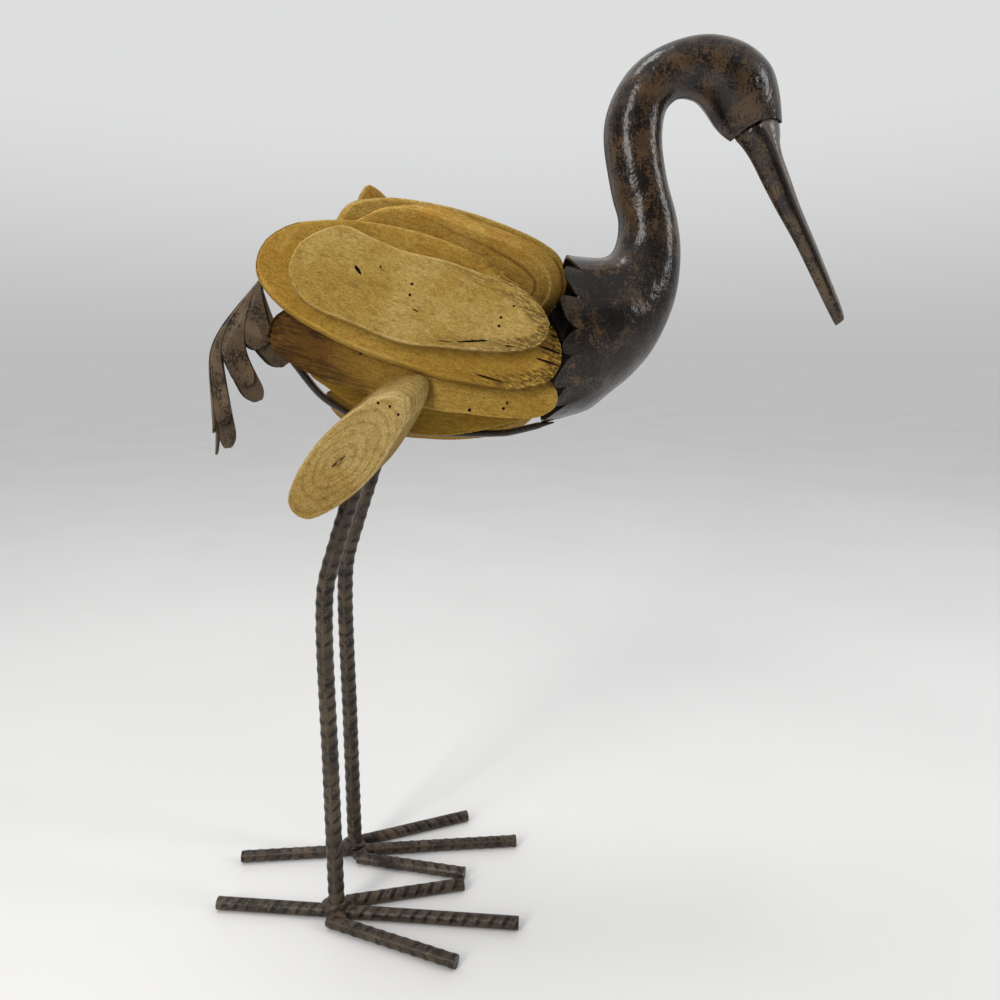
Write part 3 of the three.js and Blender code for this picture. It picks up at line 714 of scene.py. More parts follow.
# Tail: two sheets bent round the rear of the body, each a fan of seven fingers that spread from a root.
# The bend has a rounded back and straight sides, and the whole tail is turned a little to the right.
TAIL_AXIS_X = -23
TAIL_TURN = 12
TAIL_ROOT_Z = 372
TAIL_SHIFT = 1.85
TAIL_BACK = [
    (372, 9), (366, 14.4), (358, 21), (350, 27.9), (343, 33.2), (335, 37.5), (329, 39.1), (320, 39.5),
    (290, 39.6), (272, 41),
]
TAIL_HALF = [(372, 4.5), (366, 6.5), (358, 8.5), (350, 10), (340, 11.5), (270, 12)]
FINGER_HALF = 5.7
FINGER_COLUMNS = 8
FINGER_ROW = 3.0
FINGER_START = 3
FINGER_LAP = 0.5
LAP_FROM = 12
BEND_BLUR = (-3, 0, 3)
TIP_ROWS = [(7.5, 1), (5.5, 0.97), (4, 0.9), (2.6, 0.79), (1.3, 0.64), (0.5, 0.5), (0, 0.3)]
UPPER_SHEET = {"fingers": [-41, -24.6, -8.7, 0, 8.7, 24.6, 41], "reach": [50, 64, 80, 84, 80, 64, 50],
               "edge": 48.5, "inset": 0}
UNDER_SHEET = {"fingers": [-44.5, -25, -8.7, 0, 8.7, 25, 44.5], "reach": [66, 73.5, 93, 96, 93, 73.5, 66],
               "edge": 52, "inset": 1.6}


def read_at(table, z):
    """Value at a height, read between the rows of a table that runs downwards."""
    for (upper_z, upper), (lower_z, lower) in pairwise(table):
        if z >= lower_z:
            return upper + (upper_z - z) / (upper_z - lower_z) * (lower - upper)
    return table[-1][1]


def tail_point(degrees, reach):
    """Place on the tail's outer surface: reach from the root, in a direction from straight down."""
    z = TAIL_ROOT_Z - reach * math.cos(math.radians(degrees))
    around = reach * math.sin(math.radians(degrees)) - TAIL_SHIFT
    half, back = (sum(read_at(table, z + step) for step in BEND_BLUR) / len(BEND_BLUR)
                  for table in (TAIL_HALF, TAIL_BACK))
    bend = min(abs(around) / half, math.pi / 2)
    straight = max(0, abs(around) - half * math.pi / 2)
    x = half - back - half * math.cos(bend) + straight
    y = math.copysign(half * math.sin(bend), around)
    turn = Matrix.Rotation(math.radians(TAIL_TURN), 3, "Z")
    return turn @ Vector((x, y, z)) + Vector((TAIL_AXIS_X, 0, 0))


def tail_place(degrees, reach, depth):
    point = tail_point(degrees, reach)
    down = tail_point(degrees, reach + 1) - tail_point(degrees, reach - 1)
    across = tail_point(degrees + 1, reach) - tail_point(degrees - 1, reach)
    inward = down.cross(across).normalized()
    return place(*(point + inward * depth))


def finger_strip(name, middle, low, high, reach, inset):
    """One finger as a grid laid on the tail's surface, its low edge lapping under the next finger's."""
    body_end = reach - TIP_ROWS[0][0] - 1
    steps = max(2, round((body_end - FINGER_START) / FINGER_ROW))
    rows = [(FINGER_START + (body_end - FINGER_START) * k / steps, 1) for k in range(steps + 1)]
    rows += [(reach - back, share) for back, share in TIP_ROWS]
    strip = start(bpy.ops.mesh.primitive_grid_add, name, x_subdivisions=FINGER_COLUMNS,
                  y_subdivisions=len(rows) - 1, size=1)
    columns = FINGER_COLUMNS + 1
    for vertex in strip.data.vertices:
        row, column = divmod(vertex.index, columns)
        distance, share = rows[row]
        spread = math.degrees(math.asin(min(1, share * FINGER_HALF / distance)))
        from_angle = max(low, middle - spread)
        to_angle = min(high, middle + spread)
        side = column / FINGER_COLUMNS
        lift = FINGER_LAP * (side - 0.5) if distance > LAP_FROM else 0
        vertex.co = tail_place(from_angle + side * (to_angle - from_angle), distance, inset + lift)
    return strip


def tail_sheet(name, node, sheet, material):
    strips = []
    fingers = sheet["fingers"]
    last = len(fingers) - 1
    for k, middle in enumerate(fingers):
        low = -sheet["edge"] if k == 0 else (middle + fingers[k - 1]) / 2
        high = sheet["edge"] if k == last else (middle + fingers[k + 1]) / 2
        strips.append(finger_strip(f"{name}_{k}", middle, low, high, sheet["reach"][k], sheet["inset"]))
    tail = strips[0]
    join(tail, *strips[1:])
    tail.name = name
    finish_with(tail, "SUBSURF", levels=1, render_levels=1)
    finish_with(tail, "SOLIDIFY", thickness=SHEET * MM, offset=-1, use_even_offset=True)
    complete(tail, material, "brown_tail_sheet", node)


# Strap under the belly, as x, z of its middle line from the tail to the breast, where it grows thin
STRAP_LINE = [
    (-34, 352.5), (-28.5, 343), (-21.5, 333), (-15, 323.8), (-3.3, 308.8), (9.9, 299.4), (27, 290.7),
    (50, 287.6), (74, 286.6), (97.4, 286.7), (105.7, 287.9), (114.4, 289.9), (121, 291.6), (128, 292.9),
]
STRAP_HALF_WIDTH = 4
STRAP_HALF_THICKNESS = 1.7
STRAP_END_HALF = 0.35
STRAP_END_HALF_WIDTH = 2
STRAP_TAPER_FROM = 0.9
STRAP_CORNERS = [(0.7, 1), (0.95, 0.6), (1, 0), (0.95, -0.6), (0.7, -1), (-0.7, -1), (-0.95, -0.6), (-1, 0),
                 (-0.95, 0.6), (-0.7, 1)]
STRAP_STEPS = 70
AHEAD = 0.005


def belly_strap():
    points = [place(x, 0, z) for x, z in STRAP_LINE]
    sections = []
    for k in range(STRAP_STEPS + 1):
        t = k / STRAP_STEPS
        along = smooth_line(points, min(1, t + AHEAD)) - smooth_line(points, max(0, t - AHEAD))
        tilt = math.atan2(-along.z, along.x)
        thinned = max(0, (t - STRAP_TAPER_FROM) / (1 - STRAP_TAPER_FROM))
        half = STRAP_HALF_THICKNESS + thinned * (STRAP_END_HALF - STRAP_HALF_THICKNESS)
        half_width = STRAP_HALF_WIDTH + thinned * (STRAP_END_HALF_WIDTH - STRAP_HALF_WIDTH)
        sections.append(Section(smooth_line(points, t), tilt, half_width * MM, half * MM))
    strap = ring_at("strap_under_belly", sections[0], STRAP_CORNERS)
    sweep(strap, sections)
    edit(strap, "EDGE")
    bpy.ops.mesh.select_all(action="DESELECT")
    bpy.ops.mesh.select_non_manifold(extend=False)
    bpy.ops.mesh.edge_face_add()
    leave_edit(outward=True)
    complete(strap, STRAP_LACQUER, "ribbed_steel_bar", "belly_strap")


# Ribbed bar: a core with two ribs along it and slanted crescent ribs between them. Its relief is given as
# shares of the radius, and its lengths in millimetres.
RIB_PITCH = 7.7
CORE_SHARE = 0.93
RIB_SHARE = 0.07
RIB_HALF_WIDTH = 1.8
VALLEY_OFFSET = 2.5
VALLEY_HALF_WIDTH = 1.6
RIB_SLOPE = 0.55
LONG_RIB_SHARE = 0.06
LONG_RIB_HALF_ANGLE = 0.26
BAR_CORNERS = 36
BAR_CELL_RINGS = 12


def rib_height(angle, along, radius):
    """Height of the bar's relief as a share of its radius, then how much of it is rib and how much is the
    valley's darkest part, from 0 to 1. That part takes a black dash, partly painted shadow."""
    from_long_rib = abs(math.remainder(angle, math.pi))
    long_rib = max(0, 1 - (from_long_rib / LONG_RIB_HALF_ANGLE) ** 2)
    crescent = max(0, math.sin(from_long_rib) ** 0.7)
    middle = RIB_SLOPE * radius * (abs(math.remainder(angle, math.tau)) - math.pi / 2)
    offset = math.remainder(along - middle, RIB_PITCH)
    cross_rib = max(0, 1 - (offset / RIB_HALF_WIDTH) ** 2) * crescent
    dark = max(0, 1 - ((offset - VALLEY_OFFSET) / VALLEY_HALF_WIDTH) ** 2) * crescent
    return max(LONG_RIB_SHARE * long_rib, RIB_SHARE * cross_rib), max(long_rib, cross_rib), dark


def straight_bar(name, length, radius):
    """A bar along +X from the origin, cut square at both ends. Its long ribs face up and down."""
    bar = start(bpy.ops.mesh.primitive_circle_add, name, vertices=BAR_CORNERS, radius=radius * MM,
                rotation=(0, math.pi / 2, 0))
    settle(bar)
    edit(bar)
    ring_step = (RIB_PITCH / BAR_CELL_RINGS * MM, 0, 0)
    for _ in range(BAR_CELL_RINGS):
        bpy.ops.mesh.extrude_edges_move(TRANSFORM_OT_translate={"value": ring_step})
    leave_edit(outward=True)
    # The valley mark places the black dash, partly painted shadow.
    marks = marks_on(bar, "rib", "valley").values()
    for vertex in bar.data.vertices:
        angle = math.atan2(vertex.co.y, vertex.co.z)
        height, *shares = rib_height(angle, vertex.co.x / MM, radius)
        reach = radius * (CORE_SHARE + height) * MM
        vertex.co = (vertex.co.x, reach * math.sin(angle), reach * math.cos(angle))
        for mark, share in zip(marks, shares):
            mark.data[vertex.index].value = share
    cells = math.ceil(length / RIB_PITCH) + 1
    finish_with(bar, "ARRAY", count=cells, use_relative_offset=False, use_constant_offset=True,
                constant_offset_displace=(RIB_PITCH * MM, 0, 0), use_merge_vertices=True,
                merge_threshold=0.01 * MM)
    edit(bar)
    for cut, outward in ((0.5 * RIB_PITCH, -1), (0.5 * RIB_PITCH + length, 1)):
        bpy.ops.mesh.select_all(action="SELECT")
        bpy.ops.mesh.bisect(plane_co=(cut * MM, 0, 0), plane_no=(outward, 0, 0), clear_outer=True,
                            use_fill=True)
    bpy.ops.mesh.select_all(action="SELECT")
    bpy.ops.transform.translate(value=(-0.5 * RIB_PITCH * MM, 0, 0))
    leave_edit(outward=True)
    return bar


def weld(name, centre, size, seed):
    """A lumpy bead of weld metal."""
    bead = start(bpy.ops.mesh.primitive_ico_sphere_add, name, subdivisions=4, radius=MM, location=centre)
    settle(bead)
    for vertex in bead.data.vertices:
        out = (vertex.co - centre) / MM
        coarse = noise.noise(out * 1.6 + Vector((seed, 0, 0)))
        fine = noise.noise(out * 4 + Vector((0, seed, 0)))
        lump = 1 + COARSE_LUMPS * coarse + FINE_LUMPS * fine
        vertex.co = centre + Vector((out.x * size[0], out.y * size[1], out.z * size[2])) * lump * MM
    shade_smooth(bead, 60)
    return bead


LEG_LINE = [
    (0.3, -ANKLE_Y, 2 * TOE_RADIUS + GAP), (0.3, -ANKLE_Y, 100), (0.3, -ANKLE_Y, KNEE_Z - 16),
    (2.2, -ANKLE_Y, KNEE_Z + 6), (9, -ANKLE_Y, KNEE_Z + 29), (19.5, -28.2, KNEE_Z + 60),
    (23.5, -24, KNEE_Z + 72), (26, -14.5, KNEE_Z + 80.6), (27, -1.2, KNEE_Z + 83.4),
]
LEG_POINTS = 160
COARSE_LUMPS = 0.22
FINE_LUMPS = 0.1

# Welds at a foot: place as x, distance outside the ankle and z, then half sizes and a seed for the lumps
WELDS = {
    "ankle_weld": ((-1, 0, 9), (7.2, 6.4, 3.4), 3),
    "toe_weld": ((1, 5.5, 4.5), (6, 5, 3.9), 7),
    "inner_weld": ((5, -5.5, 4.5), (5, 4.5, 3.8), 11),
}

# Toe bars: their two ends as x and distance from the middle, and how far each is rolled
TOES = {
    "long_toe_bar": ((-73.3, -21.6), (108.5, -38.4), 2.2),
    "outer_toe": ((-3, -36.4), (73.8, -67.3), 0.95),
    "inner_toe": ((4, -20.5), (74.8, -5.05), 1.9),
}


def leg(word, side):
    points = [place(x, side * y, z) for x, y, z in LEG_LINE]
    line = [smooth_line(points, k / LEG_POINTS, even=False) for k in range(LEG_POINTS + 1)]
    length = sum((b - a).length for a, b in pairwise(line)) / MM
    bar = straight_bar(f"{word}_leg_bar", length, LEG_RADIUS)
    curve = bpy.data.curves.new("leg_line", "CURVE")
    curve.dimensions = "3D"
    spline = curve.splines.new("POLY")
    spline.points.add(LEG_POINTS)
    for point, spot in zip(spline.points, line):
        point.co = (*spot, 1)
    guide = bpy.data.objects.new("leg_line", curve)
    bpy.context.collection.objects.link(guide)
    finish_with(bar, "CURVE", object=guide, deform_axis="POS_X")
    bpy.data.objects.remove(guide)
    shade_smooth(bar, 40)
    join(bar, *[weld(name, place(x, -side * (ANKLE_Y + outside), z), size, side + seed)
                for name, ((x, outside, z), size, seed) in WELDS.items()])
    set_material(bar, BAR_LACQUER)
    hand_over(bar, "ribbed_steel_bar", f"{word}_leg")


def toe(word, name, side):
    start, end, roll = TOES[name]
    start = place(start[0], side * start[1], TOE_RADIUS)
    end = place(end[0], side * end[1], TOE_RADIUS)
    along = end - start
    bar = straight_bar(f"{word}_{name}_piece", along.length / MM, TOE_RADIUS)
    turn = Matrix.Rotation(math.atan2(along.y, along.x), 4, "Z") @ Matrix.Rotation(side * roll, 4, "X")
    bar.matrix_world = Matrix.Translation(start) @ turn
    settle(bar)
    complete(bar, BAR_LACQUER, "ribbed_steel_bar", f"{word}_{name}", 40)


# Wood slices. Each lies in a plane through the point at, which leans and turns. Its outline is given in that
# plane as x, z, and its far face is shifted by slant. The grain runs in degrees from the x axis and comes
# out of the face by tilt, the branch's heart meets the near face at pith, and the frayed end lies between
# two values of x. Slopes are the widths over which the face falls off above and below, each away from that
# end and at it. Holes are x, z and radius, and cracks are two ends and a width. Finish holds what differs
# from the finish of a plain slice.
PLAIN_SLICE = dict(tilt=5, slopes=((3, 3), (3, 3)), finish={}, holes=[], cracks=[])
SLICES = [
    dict(name="right_wing_top_slice", at=(60, -43.1, 350), lean=10, turn=4, thick=7.8, slant=(-2, 0),
         outline=[(-9, 374), (-5, 384.5), (3.1, 390.6), (18.3, 394.6), (32, 389), (48.7, 381.9),
                  (70.7, 376.5), (90.1, 369.7), (107.6, 363.2), (118, 353.8), (122.5, 345.1),
                  (119, 335.8), (102.3, 331.5), (71.2, 333.5), (48.2, 336.2), (26.9, 344.4), (3, 354.5),
                  (-7, 364.6)],
         pale=(0.395, 0.27, 0.074), gold=(0.325, 0.203, 0.037), grain=-24, pith=(45, 362), end=(55, 112),
         slopes=((3, 11), (8, 7)), finish={"Rings": 0.05, "Fibres": 0.15, "Stains": 0.45, "Fray": 0.8},
         holes=[(53.9, 364.6, 0.7), (52.9, 359.2, 0.7), (98.2, 347.9, 0.7), (97.3, 343.7, 0.7),
                (104.5, 353.5, 0.5), (38, 373.1, 0.5)],
         cracks=[(24.9, 374.2, 28.3, 369.4, 1.5), (66.2, 336.8, 74, 336, 0.6), (76, 336, 92, 336.7, 1.1),
                 (100, 334.2, 105, 333.6, 0.8), (54.2, 352.4, 57.5, 350.6, 0.7)]),
    dict(name="right_wing_middle_slice", at=(60, -34, 350), lean=10, turn=4, thick=8.1, slant=(-3, -1),
         outline=[(-28.7, 375.8), (-24.3, 388.6), (-10.7, 397.1), (5.2, 399.2), (28.3, 398.2),
                  (56.6, 392.2), (78.1, 384.4), (102, 370.2), (115.9, 356), (126.4, 341), (129.5, 328.5),
                  (124.5, 318), (108.5, 313.5), (76.3, 317.5), (47.1, 325.8), (17, 337.3), (-6.6, 350.1),
                  (-21.5, 362.5)],
         pale=(0.36, 0.2205, 0.0351), gold=(0.306, 0.171, 0.0187), grain=-24, pith=(30, 372), end=(70, 112),
         slopes=((3, 14), (4, 9)), finish={"Rings": 0.05, "Fibres": 0.2, "Stains": 0.2, "Fray": 1.0},
         cracks=[(117.5, 334.1, 128.5, 330.4, 1.2), (115.6, 328.1, 127.6, 324.2, 1.3),
                 (85.9, 319.9, 101, 315.6, 1.0), (123, 340, 127.5, 338.2, 0.9)],
         kerf=((-6.5, 396.6), (-24.6, 370.2))),
    dict(name="right_wing_lower_slice", at=(60, -24.6, 350), lean=10, turn=4, thick=9, slant=(-1, 3),
         outline=[(-25.4, 341.5), (-21.6, 350.3), (-9, 355.5), (15, 355), (50, 346.5), (90, 333.5),
                  (116, 321.5), (126.9, 312.7), (127.4, 303.5), (118, 297.2), (99.9, 296.7),
                  (82.2, 298.7), (59.8, 301.4), (24.6, 310.1), (8.9, 314.8), (-11, 323.9),
                  (-22.6, 332.4)],
         pale=(0.351, 0.2205, 0.0396), gold=(0.297, 0.171, 0.0211), grain=-17, pith=(60, 340), end=(60, 5),
         slopes=((3, 22), (3, 12)),
         # Its left end takes a painted shade, for the shadow of the tail and of the slice above it.
         finish={"Rings": 0.05, "Fibres": 0.35, "Stains": 0.4, "Fray": 0.8, "Aged": 1.0},
         holes=[(24.9, 330.4, 0.7), (101.9, 304.9, 0.7), (100.1, 302.1, 0.7), (82.5, 301.2, 0.9)]),
    dict(name="right_belly_slice", at=(60, -15.4, 304), lean=-15, turn=4, thick=12.9, slant=(0, 8),
         outline=[(-5, 319.5), (8, 322.5), (35, 322.2), (62, 319.4), (90, 314.8), (113, 309),
                  (120.5, 303), (113.8, 295.7), (99.1, 291), (86.4, 287.7), (72.5, 285.3), (58, 284.6),
                  (46.3, 286), (30, 293), (15.2, 303), (3, 312.5)],
         pale=(0.2755, 0.1662, 0.0153), gold=(0.2375, 0.133, 0.0093), grain=-8,
         pith=(60, 315), end=(90, 120),
         slopes=((1, 1), (1, 1)), finish={"Fibres": 0.25, "Stains": 0.2}),
    dict(name="right_thigh", at=(0, -54, 270), lean=0, turn=0, thick=21, slant=(9.4, 10.3),
         outline=[(-9.7, 256), (-6.7, 267.4), (2.8, 282.7), (14, 294.2), (25.6, 303.3), (36.5, 308.8),
                  (45.5, 310.6), (52, 307.5), (51, 298), (44.1, 285.5), (31.5, 267.6), (17.4, 255.8),
                  (7.7, 249.9), (0.3, 247.5), (-6, 249.6)],
         pale=(0.414, 0.2976, 0.0968), gold=(0.3404, 0.2232, 0.0572), grain=45, tilt=27,
         pith=(17, 277), end=(20, 50),
         finish={"Rings": 0.6, "Stains": 0.35, "Pith": 1.0},
         holes=[(37.8, 306.6, 0.7), (43.5, 304.9, 0.7), (47.5, 301, 0.7)],
         cracks=[(13.4, 274.6, 16.5, 277.4, 0.8), (18, 278.4, 21, 280.6, 0.7)]),
    dict(name="left_wing_inner_slice", at=(60, 4, 390), lean=-10, turn=0, thick=7.7, slant=(12, 1),
         outline=[(9, 392), (14, 399.5), (22.5, 403.8), (30.9, 407.6), (43.9, 409.2), (59.9, 406.6),
                  (75.9, 400.5), (96, 393.4), (111.9, 385.6), (122, 376.5), (124.9, 369), (123, 360.5),
                  (115, 352.5), (92.3, 348.4), (59.7, 353.5), (29.5, 364.5), (13, 378)],
         pale=(0.46, 0.285, 0.055), gold=(0.405, 0.215, 0.028), grain=-18, pith=(70, 385), end=(45, 105),
         # Its face carries a painted shadow line along the rounding of its rim.
         slopes=((4, 9), (6, 9)), finish={"Stains": 0.15, "Contour": 0.9}),
    dict(name="left_wing_middle_slice", at=(60, 13, 390), lean=-10, turn=0, thick=7.7, slant=(-4, 0),
         outline=[(4.5, 392), (9.9, 404.6), (17.1, 412.3), (29.8, 415), (45, 414.7), (75.6, 409.3),
                  (101.5, 401), (121.6, 392.1), (131.5, 384.8), (135, 376), (131, 360), (118, 341),
                  (94.3, 327), (58.5, 325.3), (26.4, 338.9), (8, 363.5)],
         pale=(0.41, 0.27, 0.06), gold=(0.35, 0.21, 0.03), grain=-18, pith=(70, 385), end=(70, 125),
         slopes=((3, 6), (3, 6))),
    dict(name="left_wing_rear_slice", at=(60, 22, 390), lean=-10, turn=0, thick=8, slant=(-4, -3),
         outline=[(24.5, 424), (34.4, 417.8), (46.2, 398.9), (53.8, 376.9), (57, 350.1), (54.2, 330.6),
                  (46, 322), (36, 326.7), (26.3, 343.6), (18.6, 369.5), (16.4, 392.6), (18.8, 414.5)],
         pale=(0.39, 0.24, 0.055), gold=(0.33, 0.185, 0.03), grain=-75, pith=(35, 380), end=(0, 10),
         finish={"Rings": 0.15}),
    dict(name="left_wing_lower_slice", at=(60, 4.6, 390), lean=-10, turn=0, thick=7.7, slant=(-3, 1),
         outline=[(-18, 336), (-10.2, 342.1), (9.4, 343), (42.2, 338.8), (83.8, 329.8), (115.8, 319.3),
                  (127, 311), (117.1, 300.7), (93.3, 297.9), (53.8, 302.3), (14.1, 311.8),
                  (-10.7, 323.4)],
         pale=(0.36, 0.21, 0.04), gold=(0.3, 0.165, 0.022), grain=-12, pith=(60, 325), end=(70, 125),
         slopes=((3, 5), (3, 5)), finish={"Stains": 0.2}),
    dict(name="left_belly_slice", at=(60, 8.8, 304), lean=15, turn=-2, thick=9.4, slant=(0, -4),
         outline=[(-2, 310), (5.4, 312.1), (25.4, 313), (52.7, 312.3), (85.9, 310), (110.2, 306.9),
                  (119, 304), (110.7, 294.1), (88.9, 288), (57.5, 287), (26.4, 291.1), (5.2, 299.3)],
         pale=(0.32, 0.185, 0.03), gold=(0.27, 0.145, 0.018), grain=-5, pith=(60, 305), end=(70, 115),
         finish={"Stains": 0.2}),
    dict(name="left_thigh", at=(30, 29.6, 295), lean=-10, turn=0, thick=15, slant=(-9, -6),
         outline=[(13, 275), (10, 282.4), (12.8, 292.6), (20.8, 303.8), (30.6, 311.3), (41.6, 315.1),
                  (49, 313.5), (50.1, 307.1), (45.3, 296.8), (35.4, 284.3), (26.3, 276.3), (18.8, 273.2)],
         pale=(0.42, 0.29, 0.09), gold=(0.35, 0.22, 0.055), grain=45, tilt=27, pith=(28, 290), end=(20, 50),
         finish={"Rings": 0.5, "Pith": 1.0}),
]
OUTLINE_POINTS = 96
RIM_POINTS = 4 * OUTLINE_POINTS
EDGE_ROUND = 1.7
GRAIN_VOXEL = 0.75
SLOPE_STEEPNESS = 0.2
FIBRE_RELIEF = 0.12
FRAY_RELIEF = 0.4
SWELL_RELIEF = 0.3
ACROSS_FIBRES = 0.6
ALONG_FIBRES = 0.03
SWELLS = 0.045
ON_FACE = 0.2
FLAT_FACE = 0.5
SEED_STEP = 13.7
KERF_DEPTH = 0.9
BORE_DEPTH = 5


def slice_outline(cut):
    """Points round the edge of a slice in its own plane, from the point at."""
    origin = Vector((cut["at"][0], cut["at"][2]))
    corners = [(Vector(point) - origin) * MM for point in cut["outline"]]
    return [closed_line(corners, k / OUTLINE_POINTS) for k in range(OUTLINE_POINTS)]


def slice_frame(cut):
    """Turns the slice's own plane, x along and y up with z towards the bird's right, into its place."""
    lean = math.radians(cut["lean"])
    turn = Matrix.Rotation(-math.radians(cut["turn"]), 4, "Z") @ Matrix.Rotation(math.pi / 2 - lean, 4, "X")
    return Matrix.Translation(place(*cut["at"])) @ turn


def wood_material(cut, heart):
    """The slice's own grain. Heart takes a place in the model to the branch's own axes."""
    material, tree, shader = new_material(cut["name"] + "_wood")
    where = add(tree, "TexCoord").outputs["Object"]
    turn = heart.to_euler("XYZ")
    mapped = {"Vector": where, "Location": heart.translation, "Rotation": turn}
    laid = add(tree, "Mapping", mapped).outputs[0]
    grain = use_group(tree, WOOD, {
        "Place": laid, "Pale": (*cut["pale"], 1), "Gold": (*cut["gold"], 1),
        "Edge": attribute(tree, "edge"),
        "Slope": attribute(tree, "slope"),
        "End": attribute(tree, "end"), **cut["finish"],
    })
    feed(tree, shader, {
        "Base Color": grain["Color"], "Roughness": grain["Roughness"], "Specular IOR Level": 0.25,
    })
    bump(tree, shader, grain["Height"], FIBRE_DEPTH)
    return material


def wood_slice(cut):
    outline = slice_outline(cut)
    piece = start(bpy.ops.mesh.primitive_circle_add, cut["name"] + "_piece", vertices=OUTLINE_POINTS,
                  radius=0.05)
    for vertex, point in zip(piece.data.vertices, outline):
        vertex.co = (point.x, point.y, 0)
    edit(piece)
    bpy.ops.mesh.edge_face_add()
    shift = (cut["slant"][0] * MM, cut["slant"][1] * MM, -cut["thick"] * MM)
    bpy.ops.mesh.extrude_region_move(TRANSFORM_OT_translate={"value": shift})
    leave_edit(outward=True)
    edit(piece, "EDGE")
    pick(piece, "edges", lambda edge: abs(edge.verts[0].co.z - edge.verts[1].co.z) < 0.1 * MM)
    bpy.ops.mesh.bevel(offset=EDGE_ROUND * MM, segments=4, affect="EDGES")
    leave_edit()
    finish_with(piece, "REMESH", mode="VOXEL", voxel_size=GRAIN_VOXEL * MM)
    frame_of_slice = slice_frame(cut)
    set_material(piece, wood_material(cut, heart_axes(cut, frame_of_slice)))
    bore(piece, cut)
    carve_relief(piece, cut, outline)
    piece.matrix_world = frame_of_slice
    settle(piece)
    shade_smooth(piece, 50)
    hand_over(piece, "pale_branch_wood", cut["name"])


def grain_direction(cut):
    """Direction of the branch in the slice's own axes: in the face's plane, leaning out of it."""
    angle, lean = math.radians(cut["grain"]), math.radians(cut["tilt"])
    return Vector((math.cos(angle) * math.cos(lean), math.sin(angle) * math.cos(lean), math.sin(lean)))


def heart_axes(cut, frame_of_slice):
    """Matrix from a place in the model to axes with Z along the branch's heart, through the pith."""
    pith = Vector((cut["pith"][0] - cut["at"][0], cut["pith"][1] - cut["at"][2], 0)) * MM
    axes = grain_direction(cut).to_track_quat("Z", "Y").to_matrix().to_4x4()
    return (frame_of_slice @ Matrix.Translation(pith) @ axes).inverted()


def carve_relief(piece, cut, outline):
    """Lets the near face slope off towards its rim, most at the frayed end, and raises the fibres."""
    direction = grain_direction(cut)
    rim = KDTree(RIM_POINTS)
    for k in range(RIM_POINTS):
        point = closed_line(outline, k / RIM_POINTS)
        rim.insert((point.x, point.y, 0), k)
    rim.balance()
    normals = [vertex.normal.copy() for vertex in piece.data.vertices]
    # These marks also place painted light: the highlight by the rim, the shade on the sides, the shadow line
    # along the rounding and the shade at the end.
    marks = marks_on(piece, "edge", "slope", "end")
    seed = Vector((0, 0, SEED_STEP * cut["at"][1]))
    end_from, end_to = cut["end"]
    for vertex, normal in zip(piece.data.vertices, normals):
        spot = vertex.co / MM
        facing = max(0, normal.z)
        nearest, _, distance = rim.find((vertex.co.x, vertex.co.y, 0))
        distance = distance / MM if facing > ON_FACE else 0
        share = min(1, max(0, (spot.x + cut["at"][0] - end_from) / (end_to - end_from)))
        at_start, at_end = cut["slopes"][nearest.y < vertex.co.y]
        width = at_start + share * (at_end - at_start)
        slope = max(0, 1 - distance / width)
        along = spot.dot(direction)
        across = spot - direction * along
        fibre = noise.noise(across * ACROSS_FIBRES + direction * along * ALONG_FIBRES + seed)
        swell = noise.noise(spot * SWELLS + seed)
        fringe = slope * share * cut["finish"].get("Fray", 0)
        relief = (FIBRE_RELIEF + FRAY_RELIEF * fringe) * fibre + SWELL_RELIEF * swell
        vertex.co += normal * relief * MM
        vertex.co.z -= slope ** 2 * width * SLOPE_STEEPNESS * facing * MM
        if "kerf" in cut and facing > FLAT_FACE and beyond_kerf(cut, spot):
            vertex.co.z -= KERF_DEPTH * MM
        for label, value in (("edge", distance), ("slope", slope), ("end", share)):
            marks[label].data[vertex.index].value = value


def beyond_kerf(cut, spot):
    """Whether a spot lies on the outer side of the saw's last cut across the slice."""
    top, bottom = (Vector((x - cut["at"][0], z - cut["at"][2])) for x, z in cut["kerf"])
    return (spot.xy - bottom).cross(top - bottom) < 0


def bore(piece, cut):
    """Sinks the worm holes and cracks into the near face, their cut sides in a near-black painted shade."""
    tools = []
    for x, z, radius in cut["holes"]:
        spot = ((x - cut["at"][0]) * MM, (z - cut["at"][2]) * MM, 0)
        tools.append(start(bpy.ops.mesh.primitive_cylinder_add, "hole_cutter", vertices=12,
                           radius=radius * MM, depth=BORE_DEPTH * MM, location=spot))
    for x1, z1, x2, z2, width in cut["cracks"]:
        middle = Vector(((x1 + x2) / 2 - cut["at"][0], (z1 + z2) / 2 - cut["at"][2], 0)) * MM
        tool = start(bpy.ops.mesh.primitive_cylinder_add, "crack_cutter", vertices=8, radius=0.5, depth=1,
                     location=middle, rotation=(0, 0, math.atan2(z2 - z1, x2 - x1)))
        tool.scale = Vector((math.hypot(x2 - x1, z2 - z1), width, BORE_DEPTH)) * MM
        tools.append(tool)
    for tool in tools:
        settle(tool)
        set_material(tool, HOLE_SHADE)
    if tools:
        join(*tools)
        finish_with(piece, "BOOLEAN", operation="DIFFERENCE", object=tools[0], solver="EXACT",
                    material_mode="TRANSFER")
        bpy.data.objects.remove(tools[0])


# Scene
CAMERA_PLACE = (-0.009021, -0.425, 0.327)
CAMERA_DOWN = 10.5
CAMERA_LENS = 27.04


def camera_at_photo():
    lens = bpy.data.cameras.new("camera")
    lens.lens = CAMERA_LENS
    lens.sensor_width = 36
    lens.clip_start = 0.01
    camera = bpy.data.objects.new("camera", lens)
    camera.location = CAMERA_PLACE
    camera.rotation_euler = (math.radians(90 - CAMERA_DOWN), 0, 0)
    bpy.context.collection.objects.link(camera)
    bpy.context.scene.camera = camera


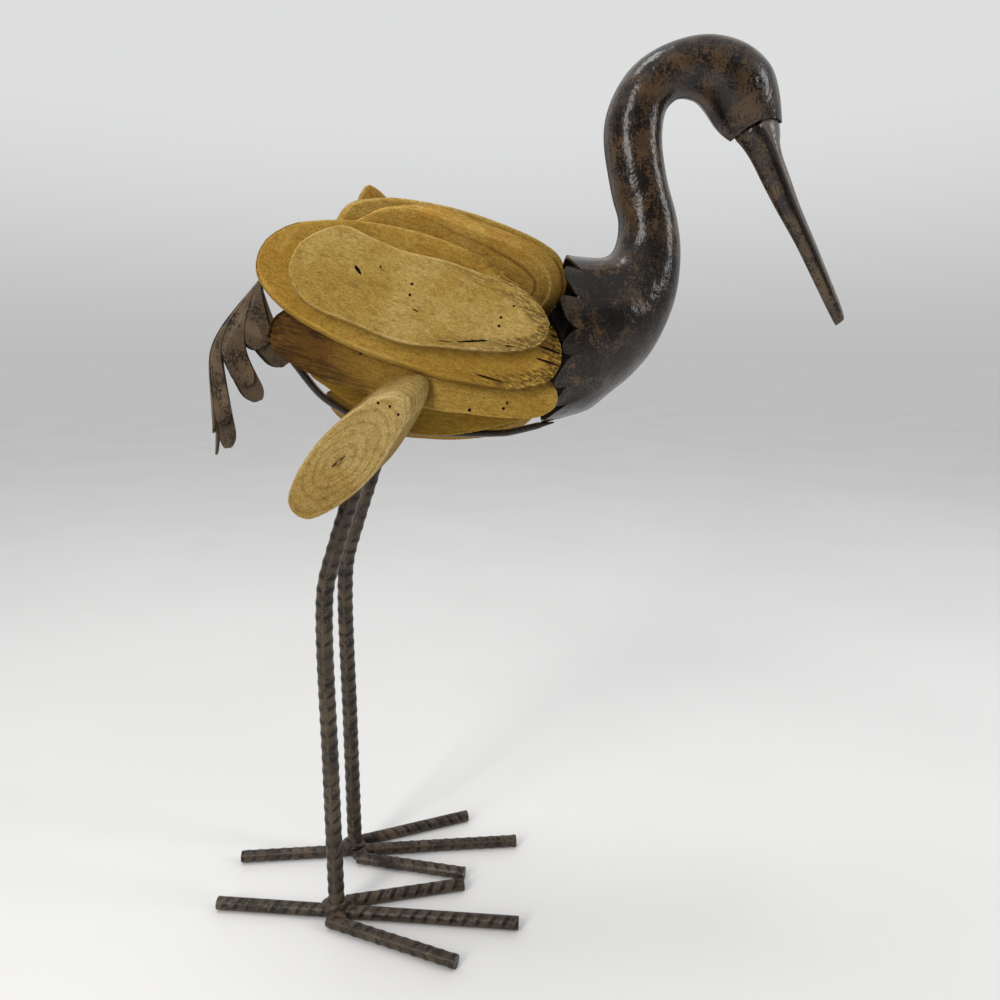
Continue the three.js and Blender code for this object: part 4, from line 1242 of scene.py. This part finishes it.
# Lamps: place, the point each is aimed at, width and height, power and colour
LAMPS = {
    "key_window": ((-0.8, -1.15, 0.95), (0, 0, 0.36), (0.4, 1.1), 14, (1, 0.98, 0.95)),
    "side_window": ((1.5, -0.3, 1.0), (0.05, 0, 0.38), (0.3, 0.9), 7, (1, 1, 1)),
    "ceiling": ((-0.3, 0.1, 1.5), (0, 0, 0.2), (0.4, 0.4), 4, (1, 1, 1)),
}
FLOOR_RADIUS = 60


def soft_light(name, spot, aim, size, power, colour):
    lamp = bpy.data.lights.new(name, "AREA")
    lamp.shape = "RECTANGLE"
    lamp.size, lamp.size_y = size
    lamp.energy = power
    lamp.color = colour
    light = bpy.data.objects.new(name, lamp)
    light.location = spot
    light.rotation_euler = (Vector(aim) - Vector(spot)).to_track_quat("-Z", "Y").to_euler()
    bpy.context.collection.objects.link(light)


def pale_floor():
    floor = start(bpy.ops.mesh.primitive_circle_add, "pale_floor", vertices=96, radius=FLOOR_RADIUS,
                  fill_type="NGON")
    material, tree, shader = new_material("pale_floor")
    where = add(tree, "TexCoord").outputs["Object"]
    tint = band(tree, grain_noise(tree, where, 3, 4), 0.3, 0.7)
    colour = mix_colour(tree, tint, (0.82, 0.815, 0.81, 1), (0.79, 0.785, 0.78, 1))
    feed(tree, shader, {"Base Color": colour, "Roughness": 0.55})
    set_material(floor, material)


def studio():
    world = bpy.data.worlds.new("studio")
    world.use_nodes = True
    tree = world.node_tree
    direction = add(tree, "SeparateXYZ", {0: add(tree, "TexCoord").outputs["Generated"]}).outputs
    behind = band(tree, direction["Y"], -0.1, 0.45)
    above = band(tree, direction["Z"], 0.2, 0.8)
    lit = math_node(tree, "MAXIMUM", behind, times(tree, above, 0.8))
    wall = band(tree, direction["Z"], -0.02, 0.3, 0.521, 0.76)
    strength = times(tree, band(tree, lit, 0, 1, 0.13, 1.0), wall)
    feed(tree, tree.nodes["Background"], {"Color": (0.96, 0.965, 0.97, 1), "Strength": strength})
    bpy.context.scene.world = world
    bpy.context.scene.view_settings.view_transform = "Standard"
    for name, settings in LAMPS.items():
        soft_light(name, *settings)
    pale_floor()


camera_at_photo()
neck_shell()
beak_cone()
tail_sheet("tail_over", "tail_upper_sheet", UPPER_SHEET, TAIL_LACQUER)
tail_sheet("tail_under", "tail_under_sheet", UNDER_SHEET, UNDER_LACQUER)
belly_strap()
for word, side in (("right", 1), ("left", -1)):
    leg(word, side)
    for toe_name in TOES:
        toe(word, toe_name, side)
for cut in SLICES:
    wood_slice({**PLAIN_SLICE, **cut})
studio()
